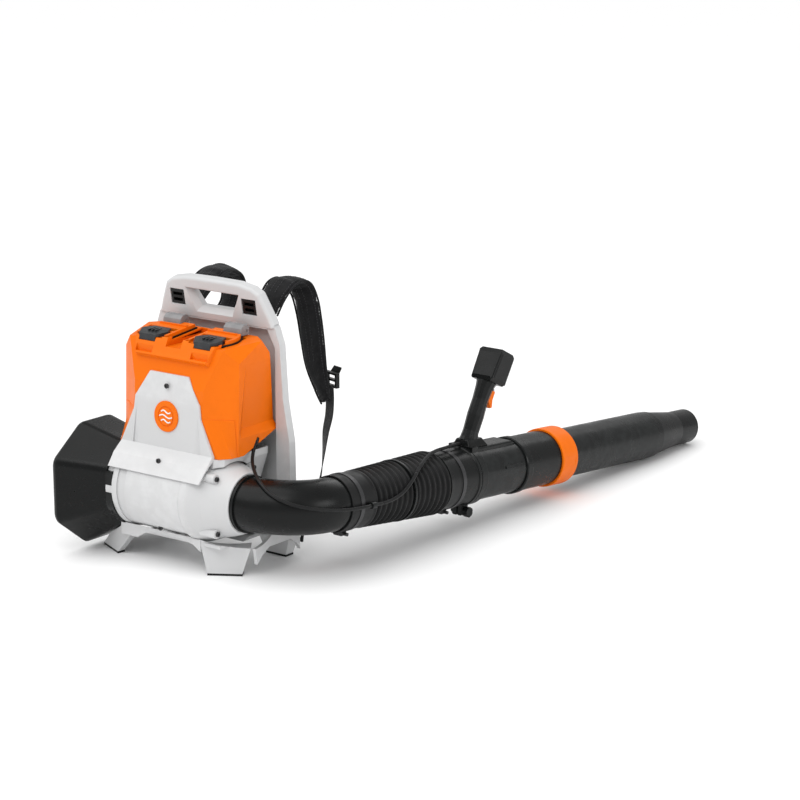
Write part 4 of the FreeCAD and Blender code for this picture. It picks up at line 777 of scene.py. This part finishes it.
def band_mesh(name, line, thick):
    """Flat webbing with rounded selvedges, and a UV map for its weave."""
    top = [(-0.985, 0.7), (-0.94, 1), (-0.5, 1), (0, 1), (0.5, 1), (0.94, 1), (0.985, 0.7)]
    section = [(-1, 0), *top, (1, 0), *[(u, -level) for u, level in reversed(top)]]
    points, uv = [], []
    travelled = 0.0
    for k, (centre, _, across, outward, half) in enumerate(line):
        if k:
            travelled += (centre - line[k - 1][0]).length
        for u, level in section:
            points.append(centre + across * half * u + outward * thick / 2 * level * MM)
            uv.append((u * half * 100, travelled * 10))
    return make(name, points, ring_faces(len(line), len(section)), "webbing", uv)


def webbing():
    """The lower webbing, right and left."""
    made = []
    for sign in (1, -1):
        band = band_mesh("band", stations(WEB_ROUTE, 120), WEB_THICK)
        if sign < 0:
            mirrored(band)
        made.append(band)
    return made


web_right, web_left = webbing()
web_right.name, web_left.name = "lower_webbing_right", "lower_webbing_left"
for web in (web_right, web_left):
    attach(web, "pack")
    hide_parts("strap_webbing")
shoulder_strap("right")
shoulder_strap("left")


COLUMNS, ROWS = 44, 60          # of the cushion's grid
CHANNELS = (-0.5, 0, 0.5)       # heights of the cushion's channels, from -1 low to 1 high


def cushion_points(middle, half_x, half_z, front, deep):
    """The flat side, then the crowned side, each row by row from its lower edge."""
    points = []
    for layer in (0, 1):
        for j in range(ROWS + 1):
            for i in range(COLUMNS + 1):
                u, v = 2 * i / COLUMNS - 1, 2 * j / ROWS - 1
                corner = (abs(u) ** 6 + abs(v) ** 8) ** (1 / 7)
                pull = 1 / max(corner, 1)
                x, z = u * pull * half_x * INSET, v * pull * half_z * INSET
                edge = max(1 - max(abs(u), abs(v)) ** 6, 0) ** 0.5
                channel = sum(math.exp(-((v - c) / 0.035) ** 2) for c in CHANNELS)
                spine = math.exp(-(u / 0.16) ** 2)
                crown = (0.35 + 0.65 * edge) * (1 - 0.34 * channel) * (1 - 0.22 * spine)
                y = front + (deep * 0.90 * crown if layer else 0.0006)
                points.append(Vector((middle.x + x, y, middle.z + z)))
    return points


def cushion_faces():
    """Both sides of the cushion, and the rim that joins them."""
    wide = COLUMNS + 1
    count = wide * (ROWS + 1)
    faces = []
    for layer in (0, 1):
        for j in range(ROWS):
            for i in range(COLUMNS):
                a = layer * count + j * wide + i
                faces.append((a, a + 1, a + wide + 1, a + wide))
    outline = list(range(wide))
    outline += [(j + 1) * wide - 1 for j in range(1, ROWS + 1)]
    outline += [ROWS * wide + i for i in range(COLUMNS - 1, -1, -1)]
    outline += [j * wide for j in range(ROWS - 1, 0, -1)]
    for k, a in enumerate(outline):
        b = outline[(k + 1) % len(outline)]
        faces.append((a, b, b + count, a + count))
    return faces


def back_cushion():
    """Cushion with three cross channels and a spine groove, piped round its rim."""
    low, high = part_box("back_pad")
    half_x, half_z = (high.x - low.x) / 2, (high.z - low.z) / 2
    middle = (low + high) / 2
    front, deep = low.y, high.y - low.y
    points = cushion_points(middle, half_x, half_z, front, deep)
    pad = make("back_cushion", points, cushion_faces(), "padded_fabric")
    swell(pad, cap=0.004, voxel=0.005, pressure=4.0)
    tree = surface_of(pad)
    seams = []
    for v in CHANNELS:
        for offset in (-0.004, 0.004):
            z = middle.z + v * half_z + offset
            places = []
            for i in range(800):
                x = middle.x + (2 * i / 799 - 1) * half_x * 0.86
                places.append(on_surface(tree, Vector((x, high.y, z)), Vector((0, 1, 0))))
            seams.append(places)
    stitching("back_stitching", seams, "pack")
    rim = []
    for k in range(240):
        angle = 2 * math.pi * k / 240
        c, s = math.cos(angle), math.sin(angle)
        u = math.copysign(abs(c) ** 0.28, c)
        v = math.copysign(abs(s) ** 0.22, s)
        x, z = middle.x + u * half_x * 0.975, middle.z + v * half_z * 0.98
        rim.append(Vector((x, front + deep * 0.30, z)))
    rim.append(rim[0].copy())
    piping = tube_mesh("back_piping", rim, 0.0026, "padded_fabric", 10)
    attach(piping, "pack")
    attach(pad, "pack")
    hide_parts("back_pad")


back_cushion()

# ---------------------------------------------------------------- emblem


def emblem_waves():
    """Three raised waves on the round badge, a plain sign for moving air."""
    low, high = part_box("emblem_disc")
    middle = (low + high) / 2
    tree = surface_of(nodes["emblem_disc"])
    made = []
    for row, half in ((0.0085, 0.011), (0.0, 0.015), (-0.0085, 0.011)):
        line = []
        for k in range(49):
            share = k / 48
            x = middle.x + (2 * share - 1) * half
            z = middle.z + row + 0.0024 * math.sin(share * 2 * math.pi)
            hit, _, _, _ = tree.ray_cast(Vector((x, low.y - 0.05, z)), Vector((0, 1, 0)), 0.2)
            line.append(hit if hit else Vector((x, low.y, z)))
        made.append(tube_mesh("wave", line, 0.0013, "light_grey_plastic", 10))
    waves = joined("emblem_waves", made)
    waves.data.materials[0] = emblem_white
    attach(waves, "pack")


emblem_waves()
